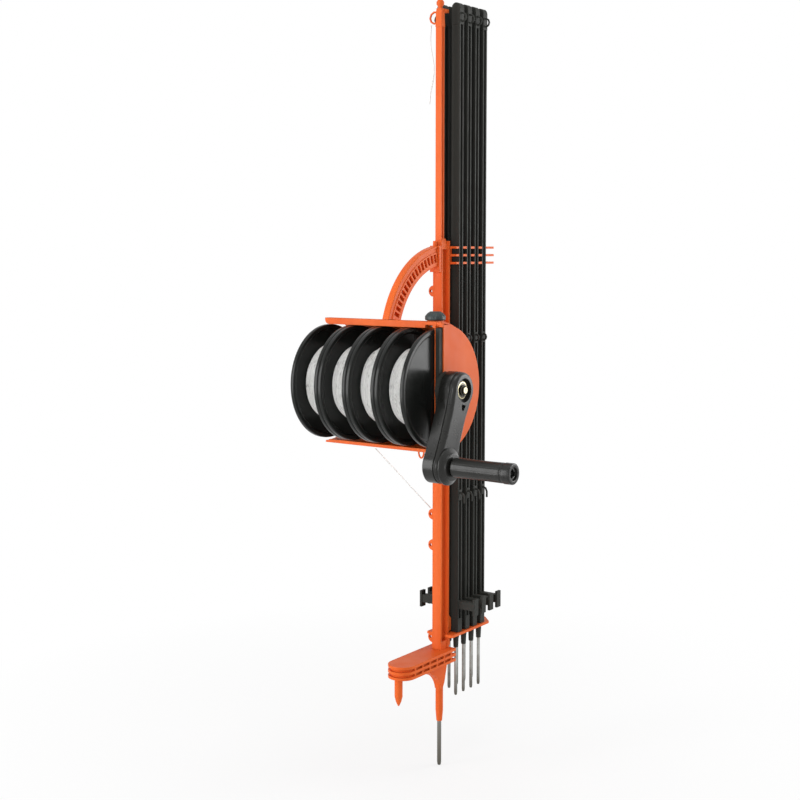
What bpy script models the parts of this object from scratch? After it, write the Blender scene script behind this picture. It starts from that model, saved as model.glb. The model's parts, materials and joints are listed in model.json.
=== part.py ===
"""Portable electric fence unit.

A moulded lead post with a tread foot carries four wire reels under a half-barrel guard,
a hand crank, a carry handle and a rack that holds nine line posts with steel ground spikes.

Frame, in metres: +Z runs up the lead post, +X along the reel axle towards the crank,
+Y from the lead post towards the line posts. The origin lies on the lead post at ground
level, 4 mm below the underside of the tread foot.
"""
import math

import bmesh
import bpy
from mathutils import Matrix, Vector

# Driving dimensions, in metres.
GAP = 0.0003
WELD = 0.000004
FLAT_ANGLE = 0.001
DRAFT = 0.0001
POST_TOP = 1.119
COLLECTION_NAME = "portable_electric_fence_unit"

# Lead post: an I-section with its narrow flange towards the reels.
NEAR_HALF = 0.0088
NEAR_RIDGE_Y = -0.0160
NEAR_FRONT_Y = -0.0138
NEAR_BACK_Y = -0.0108
WEB_HALF = 0.0028
FAR_HALF = 0.0110
FAR_FRONT_Y = 0.0042
FAR_BACK_Y = 0.0078
LOWER_TOP_Z = 0.722
SLIM_HALF = 0.0058
SLIM_FRONT_Y = -0.0115
SLIM_BACK_Y = -0.0025
SLIM_TOP_Z = 1.100
PEG_Y = -0.0050
PEG_RADIUS = 0.0066
PEG_END_Z = -0.101
SPIKE_RADIUS = 0.0036
SPIKE_TIP_Z = -0.180
SPIKE_TOP_Z = -0.045
GUIDE_HEIGHTS = (0.046, 0.206, 0.259, 0.638)
GUIDE_RADIUS = 0.0095
GUIDE_HOLE = 0.0026
GUIDE_PLATE = 0.0050
TOP_RING_Z = 1.0895
TOP_RING_RADIUS = 0.0095
TOP_RING_X = -0.0105
TOP_RING_Y = -0.0070
RING_WIRE = 0.0017
BOLT_HEIGHTS = (0.4520, 0.5320)
BOLT_RADIUS = 0.0030
BOLT_HOLE = 0.0034
SOLID_HALF = 0.0092
SOLID_FRONT_Y = -0.0142
SOLID_BACK_Y = 0.0074

# Tread foot: three thin decks joined by ribs, with a short front peg.
FOOT_RISE = 0.0040
FOOT_HALF = 0.0240
FOOT_NOSE_Y = -0.137
FOOT_END_Y = 0.0100
FOOT_HEIGHT = 0.0225
DECK = 0.0045
FRONT_PEG_Y = -0.124
FRONT_PEG_RADIUS = 0.0068
FRONT_PEG_TIP_Z = -0.0425
FLARE_HALF = 0.0088
FLARE_NARROWING = 0.72
FLARE_START_Y = -0.0560
FLARE_CENTRE = (-0.0445, -0.0474)
FLARE_RADIUS = 0.0355
FLARE_ANGLES = (78, 5)
FLARE_END_Z = -0.0460

# Line posts stand in two rows, one each side of the rack's spine.
ROW_X = 0.015
FIRST_POST_Y = 0.0233
POST_PITCH = 0.024
FRONT_ROW = 4
BACK_ROW = 5
LINE_HALF_X = 0.0080
LINE_HALF_Y = 0.0060
LINE_FLANGE = 0.0030
LINE_WEB_HALF = 0.0015
LINE_TOP_Z = 1.116
LINE_HEAD_Z = 1.080
NOSE_END_Z = 0.0240
NOSE_TOP_RADIUS = 0.0052
NOSE_END_RADIUS = 0.0042
LINE_SPIKE_RADIUS = 0.0028
LINE_SPIKE_TIP_Z = -0.0610
LINE_SPIKE_TOP_Z = 0.046
RING_Z = 1.092
SMALL_RING_Z = 0.557
HOOK_Z = 0.294
STEP_ARM_Z = (0.0930, 0.1070)
STEP_PLATE_Z = (0.0850, 0.1135)
STEP_REACH = 0.0420
STEP_PLATE = 0.0042

# Rack: three comb plates above, one tray below.
COMB_Z = (0.685, 0.698, 0.711)
COMB_PLATE = 0.0038
COMB_REACH = 0.0230
COMB_SPINE = 0.0066
COMB_END_Y = 0.1265
TRAY_TOP_Z = 0.0515
TRAY_PLATE = 0.0045
TRAY_HALF = 0.0262
TRAY_END_Y = 0.1320
TRAY_EAR_Y = -0.0060

# Reels on one axle, under a half-barrel guard.
AXLE_Y = -0.155
AXLE_Z = 0.492
AXLE_RADIUS = 0.0060
REEL_START_X = -0.1233
REEL_PITCH = 0.0557
REEL_WIDTH = 0.0554
REEL_COUNT = 4
FLANGE_RADIUS = 0.0935
RIM_WIDTH = 0.0072
FLANGE_WEB = 0.0032
RIM_DEPTH = 0.0065
CORE_RADIUS = 0.0300
WINDING_RADIUS = 0.0620
REEL_STEPS = 32
GUARD_Z = AXLE_Z + 0.0015
GUARD_RADIUS = 0.1030
GUARD_WALL = 0.0030
GUARD_START_X = -0.1218
GUARD_END_X = 0.0997
GUARD_FRONT_Y = -0.1610
LIP_HEIGHT = 0.0100
LIP_DEPTH = 0.0037
LIP_CORNER = 0.0075
FOOT_LIP_HEIGHT = 0.0055
FOOT_LIP_START_X = -0.1145
NOTCH_X = (0.0785, 0.0925)
NOTCH_HEIGHT = 0.0045
GUARD_SCREW_HEIGHTS = (0.4660, 0.5180)
SCREW_RADIUS = 0.0025
LIP_EYE_X = 0.0700
CAP_RADIUS = 0.0995
CAP_START_X = 0.1000
CAP_END_X = 0.1105
CAP_INNER_WALL = 0.0012
CAP_OUTER_WALL = 0.0020
CAP_RIM = 0.0040
CAP_FRONT_Y = -0.1570
CAP_INNER_FRONT_Y = -0.1668
CAP_CORNER = 0.0060
BUSH_RADIUS = 0.0100
BUSH_FLANGE_RADIUS = 0.0275
BRACKET_Z = (0.430, 0.554)
BRACKET_HALF = 0.0165
WINDOW_Y = (-0.0440, -0.0230)
WINDOW_Z = (0.480, 0.504)

# Crank: an arm on the axle's end with a turning grip.
CRANK_LENGTH = 0.1209
CRANK_TILT = math.radians(22.4)
ARM_START_X = 0.1192
ARM_END_X = 0.1480
ARM_EDGE = 0.0112
HUB_RADIUS = 0.0285
HUB_SHARE = 0.78
ARM_WAIST = 0.0240
ARM_END_RADIUS = 0.0270
COLLAR_RADIUS = 0.0285
GRIP_START_X = 0.1590
GRIP_END_X = 0.2647
GRIP_RADIUS = 0.0154
GRIP_END_RADIUS = 0.0160
GRIP_CUP = 0.0098
SPINDLE_RADIUS = 0.0050
BOLT_RECESS = 0.0060

# Carry handle: an arc in the plane X = 0 from the guard's top to the lead post.
HANDLE_START = (-0.1390, 0.5990)
HANDLE_END = (-0.0150, 0.6950)
HANDLE_RADIUS = 0.1500
HANDLE_OUTWARD = 0.0190
HANDLE_INWARD = 0.0140
HANDLE_THICKNESS = 0.0130
HANDLE_SLOTS = 17

# Reel brake: a knob on the guard's top screws a shoe down on the last reel's rim.
BRAKE_X = 0.0855
BRAKE_Y = -0.1440
KNOB_RADIUS = 0.0162
KNOB_HEIGHT = 0.0135
SEAT_RISE = 0.0008
SEAT_DROP = 0.0065
STEM_RADIUS = 0.0030
SHOE_HALF = 0.0060
SHOE_STROKE = 0.0015

# Fence wire: a taut stretch to the lowest but two guide, and a loose end on the top ring.
WIRE_RADIUS = 0.0009
STRAND_START = (-0.0170, -0.1636, 0.3890)
STRAND_END = (-0.0128, -0.0150, 0.2700)
TAIL_SPACING = 0.0045
TAIL_ROUTE = (
    (-0.0178, -0.0070, 1.0786),
    (-0.0179, -0.0073, 1.0745),
    (-0.0181, -0.0079, 1.0680),
    (-0.0182, -0.0086, 1.0600),
    (-0.0179, -0.0092, 1.0510),
    (-0.0169, -0.0096, 1.0420),
    (-0.0151, -0.0098, 1.0335),
    (-0.0129, -0.0100, 1.0250),
    (-0.0112, -0.0100, 1.0160),
    (-0.0105, -0.0100, 1.0070),
    (-0.0107, -0.0100, 0.9980),
    (-0.0118, -0.0100, 0.9890),
    (-0.0138, -0.0100, 0.9800),
    (-0.0161, -0.0100, 0.9715),
    (-0.0180, -0.0100, 0.9620),
    (-0.0191, -0.0100, 0.9490),
)


def clear_scene():
    for old in list(bpy.data.objects):
        bpy.data.objects.remove(old, do_unlink=True)


def make_collection(name):
    group = bpy.data.collections.new(name)
    bpy.context.scene.collection.children.link(group)
    return group


def make_material(name, colour, roughness, metallic=0.0):
    material = bpy.data.materials.new(name)
    material.use_nodes = True
    shader = material.node_tree.nodes["Principled BSDF"]
    shader.inputs["Base Color"].default_value = (*colour, 1.0)
    shader.inputs["Roughness"].default_value = roughness
    shader.inputs["Metallic"].default_value = metallic
    return material


def loose(mesh, name="piece"):
    """Puts a mesh in the scene as a plain object, ready to be joined, cut or named."""
    piece = bpy.data.objects.new(name, mesh)
    bpy.context.scene.collection.objects.link(piece)
    return piece


def applied(piece):
    """Replaces an object by one plain mesh that holds its modifiers and its place."""
    bpy.context.view_layer.update()
    graph = bpy.context.evaluated_depsgraph_get()
    mesh = bpy.data.meshes.new_from_object(piece.evaluated_get(graph))
    mesh.transform(piece.matrix_world)
    weld = bmesh.new()
    weld.from_mesh(mesh)
    bmesh.ops.remove_doubles(weld, verts=weld.verts, dist=WELD)
    weld.to_mesh(mesh)
    weld.free()
    bpy.data.objects.remove(piece, do_unlink=True)
    return loose(mesh)


def boolean(base, others, operation):
    """Joins or cuts the base with each other object, which is used up."""
    for other in others:
        modifier = base.modifiers.new(operation.lower(), "BOOLEAN")
        modifier.operation = operation
        modifier.solver = "EXACT"
        modifier.object = other
        base = applied(base)
        bpy.data.objects.remove(other, do_unlink=True)
    return base


def joined(base, *others):
    return boolean(base, others, "UNION")


def cut(base, *others):
    return boolean(base, others, "DIFFERENCE")


def block(low, high, top_scale=(1.0, 1.0)):
    """A box between two corners; its top face may be scaled about its middle."""
    shape = bmesh.new()
    bmesh.ops.create_cube(shape, size=1.0)
    size = [high[i] - low[i] for i in range(3)]
    middle = [(high[i] + low[i]) / 2 for i in range(3)]
    for vert in shape.verts:
        scale = top_scale if vert.co.z > 0 else (1.0, 1.0)
        vert.co.x = middle[0] + vert.co.x * size[0] * scale[0]
        vert.co.y = middle[1] + vert.co.y * size[1] * scale[1]
        vert.co.z = middle[2] + vert.co.z * size[2]
    mesh = bpy.data.meshes.new("block")
    shape.to_mesh(mesh)
    shape.free()
    return loose(mesh)


AXES = {
    "X": Matrix(((0, 0, 1), (0, 1, 0), (-1, 0, 0))).to_4x4(),
    "Y": Matrix(((1, 0, 0), (0, 0, 1), (0, -1, 0))).to_4x4(),
    "Z": Matrix.Identity(4),
}


def rod(radius, start, length, axis, segments, end_radius=None):
    """A cylinder or cone from a point along an axis."""
    place = Matrix.Translation(start) @ AXES[axis] @ Matrix.Translation((0, 0, length / 2))
    shape = bmesh.new()
    bmesh.ops.create_cone(
        shape,
        cap_ends=True,
        segments=segments,
        radius1=radius,
        radius2=radius if end_radius is None else end_radius,
        depth=length,
        matrix=place,
    )
    mesh = bpy.data.meshes.new("rod")
    shape.to_mesh(mesh)
    shape.free()
    return loose(mesh)


def turned(profile, steps, axis="Z", origin=(0, 0, 0), closed=False):
    """Turns a profile of (radius, height) points about an axis, top to bottom."""
    mesh = bpy.data.meshes.new("profile")
    points = [(radius, 0, height) for radius, height in profile]
    edges = [(i, i + 1) for i in range(len(points) - 1)]
    if closed:
        edges.append((len(points) - 1, 0))
    mesh.from_pydata(points, edges, [])
    piece = loose(mesh)
    screw = piece.modifiers.new("turn", "SCREW")
    screw.axis = "Z"
    screw.angle = math.tau
    screw.steps = steps
    screw.render_steps = steps
    screw.use_merge_vertices = True
    screw.merge_threshold = 0.00001
    piece.matrix_world = Matrix.Translation(origin) @ AXES[axis]
    return applied(piece)


PLANES = {
    "XY": Matrix.Identity(4),
    "XZ": Matrix(((1, 0, 0), (0, 0, -1), (0, 1, 0))).to_4x4(),
    "YZ": Matrix(((0, 0, 1), (1, 0, 0), (0, 1, 0))).to_4x4(),
}


def slab(outline, low, high, plane):
    """Extrudes a flat outline across its plane between two offsets."""
    curve = bpy.data.curves.new("outline", "CURVE")
    curve.dimensions = "2D"
    curve.fill_mode = "BOTH"
    curve.extrude = (high - low) / 2
    spline = curve.splines.new("POLY")
    spline.points.add(len(outline) - 1)
    for point, place in zip(spline.points, outline):
        point.co = (place[0], place[1], 0, 1)
    spline.use_cyclic_u = True
    piece = bpy.data.objects.new("outline", curve)
    bpy.context.scene.collection.objects.link(piece)
    middle = (low + high) / 2
    shift = -middle if plane == "XZ" else middle
    piece.matrix_world = PLANES[plane] @ Matrix.Translation((0, 0, shift))
    return applied(piece)


def lofted(sections):
    """A closed body through outlines in YZ with equal point counts, each at its own X."""
    shape = bmesh.new()
    rings = [[shape.verts.new((x, y, z)) for y, z in outline] for x, outline in sections]
    count = len(rings[0])
    for near, far in zip(rings, rings[1:]):
        for index in range(count):
            after = (index + 1) % count
            shape.faces.new((near[index], near[after], far[after], far[index]))
    shape.faces.new(rings[0])
    shape.faces.new(rings[-1])
    bmesh.ops.recalc_face_normals(shape, faces=shape.faces)
    mesh = bpy.data.meshes.new("loft")
    shape.to_mesh(mesh)
    shape.free()
    return loose(mesh)


def arc(centre, radius, start, end, steps):
    """Points on a circle between two angles in degrees, both ends included."""
    points = []
    for step in range(steps + 1):
        angle = math.radians(start + (end - start) * step / steps)
        across = radius * math.cos(angle)
        up = radius * math.sin(angle)
        points.append((centre[0] + across, centre[1] + up))
    return points


def wire(points, radius, sides=2):
    """A round bar along a list of points, with closed ends."""
    curve = bpy.data.curves.new("wire", "CURVE")
    curve.dimensions = "3D"
    curve.bevel_depth = radius
    curve.bevel_resolution = sides
    curve.use_fill_caps = True
    spline = curve.splines.new("POLY")
    spline.points.add(len(points) - 1)
    for point, place in zip(spline.points, points):
        point.co = (*place, 1)
    piece = bpy.data.objects.new("wire", curve)
    bpy.context.scene.collection.objects.link(piece)
    return applied(piece)


def gathered(pieces):
    """One object from pieces that stand clear of each other, for a single cut."""
    shape = bmesh.new()
    for piece in pieces:
        shape.from_mesh(piece.data)
        bpy.data.objects.remove(piece, do_unlink=True)
    mesh = bpy.data.meshes.new("gathered")
    shape.to_mesh(mesh)
    shape.free()
    return loose(mesh)


def moved(piece, matrix):
    piece.data.transform(matrix)
    return piece


def narrow(piece, top, bottom, share):
    """Tapers a piece in X from its full width at the top to a share of it at the bottom."""
    for vert in piece.data.vertices:
        along = (top - vert.co.z) / (top - bottom)
        vert.co.x *= 1 + (share - 1) * along


def tidied(piece):
    """Joins flat neighbouring faces, which the cuts leave in strips."""
    shape = bmesh.new()
    shape.from_mesh(piece.data)
    bmesh.ops.dissolve_limit(
        shape, angle_limit=FLAT_ANGLE, verts=shape.verts, edges=shape.edges
    )
    bmesh.ops.triangulate(shape, faces=shape.faces)
    shape.to_mesh(piece.data)
    shape.free()
    return piece


def named(piece, name, material, pivot=(0, 0, 0), smooth=40.0):
    """Names a finished piece, gives it its origin and puts it in the collection."""
    tidied(piece)
    piece.name = name
    piece.data.name = name
    piece.data.transform(Matrix.Translation(-Vector(pivot)))
    piece.location = pivot
    piece.data.materials.clear()
    piece.data.materials.append(material)
    piece.data.shade_smooth()
    piece.data.set_sharp_from_angle(angle=math.radians(smooth))
    for group in list(piece.users_collection):
        group.objects.unlink(piece)
    PARTS.objects.link(piece)
    return piece


def copied(piece, name, location, rotation=0.0):
    """A second object on the same mesh, turned about the vertical."""
    twin = bpy.data.objects.new(name, piece.data)
    twin.location = location
    twin.rotation_euler = (0, 0, rotation)
    PARTS.objects.link(twin)
    return twin


def eyelet(height):
    """A half-disc wire guide on the lead post's back side, with its hole along Y."""
    outline = arc((-NEAR_HALF + 0.0005, height), GUIDE_RADIUS, 90, 270, 8)
    front = NEAR_FRONT_Y + 0.0002
    disc = slab(outline, front, front + GUIDE_PLATE, "XZ")
    hole_x = -NEAR_HALF - GUIDE_RADIUS * 0.45
    hole = rod(GUIDE_HOLE, (hole_x, -0.03, height), 0.04, "Y", 8)
    return cut(disc, hole)


def half_ring(centre_x, centre_y, height, radius, side, bar=RING_WIRE):
    """A wire ring standing out from a post towards one side in X."""
    points = []
    for step in range(7):
        angle = math.radians(-120 + 40 * step)
        x = centre_x + side * radius * math.cos(angle)
        points.append((x, centre_y, height + radius * math.sin(angle)))
    return wire(points, bar, 1)


def make_lead_post():
    outline = [
        (-NEAR_HALF, NEAR_FRONT_Y),
        (0.0, NEAR_RIDGE_Y),
        (NEAR_HALF, NEAR_FRONT_Y),
        (NEAR_HALF, NEAR_BACK_Y),
        (WEB_HALF, NEAR_BACK_Y + DRAFT),
        (WEB_HALF, FAR_FRONT_Y - DRAFT),
        (FAR_HALF, FAR_FRONT_Y),
        (FAR_HALF, FAR_BACK_Y),
        (-FAR_HALF, FAR_BACK_Y),
        (-FAR_HALF, FAR_FRONT_Y),
        (-WEB_HALF, FAR_FRONT_Y - DRAFT),
        (-WEB_HALF, NEAR_BACK_Y + DRAFT),
        (-NEAR_HALF, NEAR_BACK_Y),
    ]
    under = FOOT_RISE - GAP
    post = slab(outline, under - DRAFT, LOWER_TOP_Z, "XY")
    slim_middle = (SLIM_FRONT_Y + SLIM_BACK_Y) / 2
    slim_depth = (SLIM_BACK_Y - SLIM_FRONT_Y) / 2
    slim_web = 0.0019
    slim_flange = 0.0026
    slim = [
        (-SLIM_HALF, slim_middle - slim_depth),
        (SLIM_HALF, slim_middle - slim_depth),
        (SLIM_HALF, slim_middle - slim_depth + slim_flange),
        (slim_web, slim_middle - slim_depth + slim_flange),
        (slim_web, slim_middle + slim_depth - slim_flange),
        (SLIM_HALF, slim_middle + slim_depth - slim_flange),
        (SLIM_HALF, slim_middle + slim_depth),
        (-SLIM_HALF, slim_middle + slim_depth),
        (-SLIM_HALF, slim_middle + slim_depth - slim_flange),
        (-slim_web, slim_middle + slim_depth - slim_flange),
        (-slim_web, slim_middle - slim_depth + slim_flange),
        (-SLIM_HALF, slim_middle - slim_depth + slim_flange),
    ]
    upper = slab(slim, LOWER_TOP_Z - 0.010, SLIM_TOP_Z, "XY")
    shoulder = block(
        (-NEAR_HALF - 0.0004, NEAR_RIDGE_Y - 0.0002, LOWER_TOP_Z - 0.014),
        (NEAR_HALF + 0.0004, FAR_BACK_Y - 0.0002, LOWER_TOP_Z + 0.004),
        (0.66, 0.44),
    )
    post = joined(post, upper, shoulder)

    # Solid lengths where the bracket bolts and the foot grip the post.
    bolt_low = BOLT_HEIGHTS[0] - 0.027
    bolt_high = BOLT_HEIGHTS[1] + 0.028
    corner = (-SOLID_HALF, SOLID_FRONT_Y)
    far_corner = (SOLID_HALF, SOLID_BACK_Y)
    bolt_block = block((*corner, bolt_low), (*far_corner, bolt_high))
    foot_block = block((*corner, under - 2 * DRAFT), (*far_corner, 0.040))
    post = joined(post, bolt_block, foot_block)

    # Head: a block that holds the ring, a neck and a rounded knob.
    head = block((-0.0062, -0.0122, 1.074), (0.0062, -0.0018, 1.104), (0.8, 0.8))
    knob = turned(
        [(0, POST_TOP), (0.0040, POST_TOP - 0.0008), (0.0064, POST_TOP - 0.0045),
         (0.0064, POST_TOP - 0.0085), (0.0038, POST_TOP - 0.0125), (0.0038, 1.098), (0, 1.098)],
        12,
        origin=(0, -0.0068, 0),
    )
    lug = block((0.0005, -0.0030, 1.098), (0.0068, 0.0085, 1.1035))
    post = joined(post, head, knob, lug)
    ring = half_ring(TOP_RING_X, TOP_RING_Y, TOP_RING_Z, TOP_RING_RADIUS, -1)
    post = joined(post, ring)

    for height in GUIDE_HEIGHTS:
        post = joined(post, eyelet(height))

    # Gusset between the post and the tray, above the tray's plate.
    gusset = slab(
        [(FAR_BACK_Y - 0.001, TRAY_TOP_Z + 0.003), (0.0150, TRAY_TOP_Z + 0.003),
         (0.0150, TRAY_TOP_Z + 0.024), (FAR_BACK_Y - 0.001, TRAY_TOP_Z + 0.033)],
        -0.0105, 0.0105, "YZ",
    )
    post = joined(post, gusset)

    # Peg under the foot: a flared root, then a round peg bored for the steel spike.
    peg = turned(
        [(0, -0.004), (PEG_RADIUS, -0.004), (PEG_RADIUS, -0.082), (0.0050, PEG_END_Z),
         (0, PEG_END_Z)],
        14,
        origin=(0, PEG_Y, 0),
    )
    sweep = arc(FLARE_CENTRE, FLARE_RADIUS, *FLARE_ANGLES, 8)
    flare = slab(
        [(SOLID_BACK_Y, under), (FLARE_START_Y, under)] + sweep
        + [(PEG_Y, FLARE_END_Z), (PEG_Y + PEG_RADIUS - 0.001, FLARE_END_Z + 0.012)],
        -FLARE_HALF, FLARE_HALF, "YZ",
    )
    narrow(flare, under, FLARE_END_Z, FLARE_NARROWING)
    bore_length = SPIKE_TOP_Z + GAP - PEG_END_Z + 0.01
    bore = rod(SPIKE_RADIUS + GAP, (0, PEG_Y, PEG_END_Z - 0.01), bore_length, "Z", 12)
    post = joined(post, peg, flare)
    post = cut(post, bore)

    # Bolt holes through the solid length behind the bracket.
    for height in BOLT_HEIGHTS:
        post = cut(post, rod(BOLT_HOLE, (0, -0.030, height), 0.050, "Y", 12))
    return named(post, "lead_post", ORANGE)


def make_lead_spike():
    spike = turned(
        [(0, SPIKE_TOP_Z), (SPIKE_RADIUS, SPIKE_TOP_Z), (SPIKE_RADIUS, SPIKE_TIP_Z + 0.010),
         (0.0012, SPIKE_TIP_Z), (0, SPIKE_TIP_Z)],
        12,
        origin=(0, PEG_Y, 0),
    )
    return named(spike, "lead_post_spike", STEEL)


def foot_outline(inset):
    """The foot's plan: a round nose towards -Y and a square heel."""
    half = FOOT_HALF - inset
    nose = arc((0, FOOT_NOSE_Y + FOOT_HALF), half, 180, 360, 14)
    return nose + [(half, FOOT_END_Y - inset), (-half, FOOT_END_Y - inset)]


def make_tread_foot():
    top = FOOT_RISE + FOOT_HEIGHT
    pitch = (FOOT_HEIGHT - DECK) / 2
    foot = slab(foot_outline(0.0), FOOT_RISE, FOOT_RISE + DECK, "XY")
    core = slab(foot_outline(0.0050), FOOT_RISE + DECK / 2, top - DECK / 2, "XY")
    foot = joined(foot, core)
    for level in (1, 2):
        low = FOOT_RISE + pitch * level
        foot = joined(foot, slab(foot_outline(0.0), low, low + DECK, "XY"))

    # Cross ribs between the decks stand out almost to the decks' edge.
    reach = FOOT_HALF - 0.0006
    for count in range(6):
        y = -0.108 + 0.021 * count
        rib = block((-reach, y - 0.0014, FOOT_RISE + 0.001), (reach, y + 0.0014, top - 0.001))
        foot = joined(foot, rib)

    # The post passes down through a socket in the heel.
    back = FAR_BACK_Y + GAP
    wing = FAR_HALF + GAP
    socket = block(
        (-SOLID_HALF - GAP, NEAR_RIDGE_Y - GAP - 0.0002, -0.01), (SOLID_HALF + GAP, back, 0.05)
    )
    wings = block((-wing, FAR_FRONT_Y - GAP, -0.01), (wing, back, 0.05))
    root = FOOT_RISE + 0.002
    peg = turned(
        [(0, root), (FRONT_PEG_RADIUS, root), (FRONT_PEG_RADIUS, -0.026),
         (0.0046, -0.035), (0.0010, FRONT_PEG_TIP_Z), (0, FRONT_PEG_TIP_Z)],
        14,
        origin=(0, FRONT_PEG_Y, 0),
    )
    foot = joined(foot, peg)
    foot = cut(foot, socket, wings)
    return named(foot, "tread_foot", ORANGE)


def line_post_places():
    """Axis points of the posts: front row first, then back row, with the side each faces."""
    places = []
    for index in range(FRONT_ROW):
        places.append((ROW_X, FIRST_POST_Y + POST_PITCH * index, 1))
    for index in range(BACK_ROW):
        places.append((-ROW_X, FIRST_POST_Y + POST_PITCH * index, -1))
    return places


def make_line_post_mesh():
    """One line post about its own axis, with its wire fittings towards +X."""
    hx = LINE_HALF_X
    hy = LINE_HALF_Y
    inner = LINE_HALF_Y - LINE_FLANGE
    web = LINE_WEB_HALF
    outline = [
        (-hx, -hy), (hx, -hy), (hx, -inner), (web, -inner), (web, inner), (hx, inner),
        (hx, hy), (-hx, hy), (-hx, inner), (-web, inner), (-web, -inner), (-hx, -inner),
    ]
    post = slab(outline, TRAY_TOP_Z + 2 * GAP, LINE_HEAD_Z + 0.004, "XY")
    swell = 0.0003
    head_half = hx + swell
    head_outline = [(-head_half, LINE_HEAD_Z), (head_half, LINE_HEAD_Z)]
    head_outline += arc((0, LINE_TOP_Z - head_half), head_half, 0, 180, 6)
    head = slab(head_outline, -hy - swell, hy + swell, "XZ")
    base = TRAY_TOP_Z + GAP
    solid_foot = block((-head_half, -hy - swell, base), (head_half, hy + swell, base + 0.0240))
    post = joined(post, head, solid_foot)
    root = TRAY_TOP_Z + 0.010
    nose = turned(
        [(0, root), (NOSE_TOP_RADIUS, root), (NOSE_TOP_RADIUS, TRAY_TOP_Z - TRAY_PLATE),
         (NOSE_END_RADIUS, NOSE_END_Z), (0, NOSE_END_Z)],
        10,
    )
    bore_length = LINE_SPIKE_TOP_Z + GAP - NOSE_END_Z + 0.01
    bore = rod(LINE_SPIKE_RADIUS + GAP, (0, 0, NOSE_END_Z - 0.01), bore_length, "Z", 8)
    post = joined(post, nose)
    post = cut(post, bore)
    post = joined(post, half_ring(hx + 0.0010, 0, RING_Z, 0.0070, 1))
    post = joined(post, half_ring(hx - 0.0002, 0, SMALL_RING_Z, 0.0056, 1))
    hook = wire(
        [(hx - 0.0065, 0, HOOK_Z - 0.003), (hx + 0.0010, 0, HOOK_Z),
         (hx + 0.0056, 0, HOOK_Z - 0.002), (hx + 0.0080, 0, HOOK_Z - 0.0075),
         (hx + 0.0080, 0, HOOK_Z - 0.0175)],
        0.0018, 1,
    )
    for height in (SMALL_RING_Z, HOOK_Z - 0.004):
        boss = block((0, -0.0045, height - 0.0090), (hx + swell, 0.0045, height + 0.0090))
        post = joined(post, boss)
    arm = block((0, -0.0048, STEP_ARM_Z[0]), (STEP_REACH - 0.002, 0.0048, STEP_ARM_Z[1]))
    plate = block(
        (STEP_REACH - STEP_PLATE, -0.0060, STEP_PLATE_Z[0]), (STEP_REACH, 0.0060, STEP_PLATE_Z[1])
    )
    return joined(post, hook, arm, plate)


def make_line_posts():
    places = line_post_places()
    first = None
    for number, (x, y, side) in enumerate(places, start=1):
        name = f"line_post_{number}"
        if first is None:
            first = named(make_line_post_mesh(), name, BLACK)
            first.location = (x, y, 0)
        else:
            copied(first, name, (x, y, 0), 0.0 if side > 0 else math.pi)


def make_line_spikes():
    first = None
    for number, (x, y, _) in enumerate(line_post_places(), start=1):
        name = f"line_post_spike_{number}"
        if first is None:
            spike = turned(
                [(0, LINE_SPIKE_TOP_Z), (LINE_SPIKE_RADIUS, LINE_SPIKE_TOP_Z),
                 (LINE_SPIKE_RADIUS, LINE_SPIKE_TIP_Z + 0.006), (0.0012, LINE_SPIKE_TIP_Z),
                 (0, LINE_SPIKE_TIP_Z)],
                8,
            )
            first = named(spike, name, STEEL)
            first.location = (x, y, 0)
        else:
            copied(first, name, (x, y, 0))


def comb_side(side, count):
    """One edge of a comb plate: teeth that reach between the posts of one row."""
    slot_half = LINE_HALF_Y + GAP * 1.4
    start = FAR_BACK_Y + GAP
    points = [(side * COMB_SPINE, start), (side * COMB_REACH, start + 0.001)]
    for index in range(count):
        y = FIRST_POST_Y + POST_PITCH * index
        inner_half = slot_half - DRAFT
        points += [(side * COMB_REACH, y - slot_half), (side * COMB_SPINE, y - inner_half)]
        points += [(side * COMB_SPINE, y + inner_half), (side * COMB_REACH, y + slot_half)]
    points.append((side * COMB_REACH, COMB_END_Y + (0 if side > 0 else 0.0050)))
    return points


def comb_outline():
    """Plan of one comb plate: a spine with teeth on both sides."""
    return comb_side(1, FRONT_ROW) + comb_side(-1, BACK_ROW)[::-1]


def make_upper_comb():
    half = COMB_PLATE / 2
    comb = slab(comb_outline(), COMB_Z[0] - half, COMB_Z[0] + half, "XY")
    for height in COMB_Z[1:]:
        comb = joined(comb, slab(comb_outline(), height - half, height + half, "XY"))
    start = FAR_BACK_Y + GAP
    spine = block((-0.0020, start, COMB_Z[0]), (0.0020, COMB_END_Y, COMB_Z[2]))
    root = block((-0.0105, start, COMB_Z[0] - 0.001), (0.0105, 0.0140, COMB_Z[2] + 0.001))
    return named(joined(comb, spine, root), "upper_comb", ORANGE)


def make_lower_tray():
    bottom = TRAY_TOP_Z - TRAY_PLATE
    start = FAR_BACK_Y + GAP
    ear = FAR_HALF + GAP
    outline = [
        (-ear, start), (ear, start), (ear, TRAY_EAR_Y), (TRAY_HALF, TRAY_EAR_Y + 0.002),
        (TRAY_HALF, 0.1120), (0.0060, TRAY_END_Y), (-TRAY_HALF, TRAY_END_Y),
        (-TRAY_HALF, TRAY_EAR_Y + 0.002), (-ear, TRAY_EAR_Y),
    ]
    tray = slab(outline, bottom, TRAY_TOP_Z, "XY")
    keel = block((-0.0020, start, bottom - 0.008), (0.0020, 0.1180, bottom + 0.001))
    root = block((-0.0105, start, 0.0300), (0.0105, 0.0120, TRAY_TOP_Z - 0.001))
    tray = joined(tray, keel, root)
    for x, y, _ in line_post_places():
        tray = cut(tray, rod(NOSE_TOP_RADIUS + GAP, (x, y, bottom - 0.01), 0.03, "Z", 10))
    return named(tray, "lower_tray", ORANGE)


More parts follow.
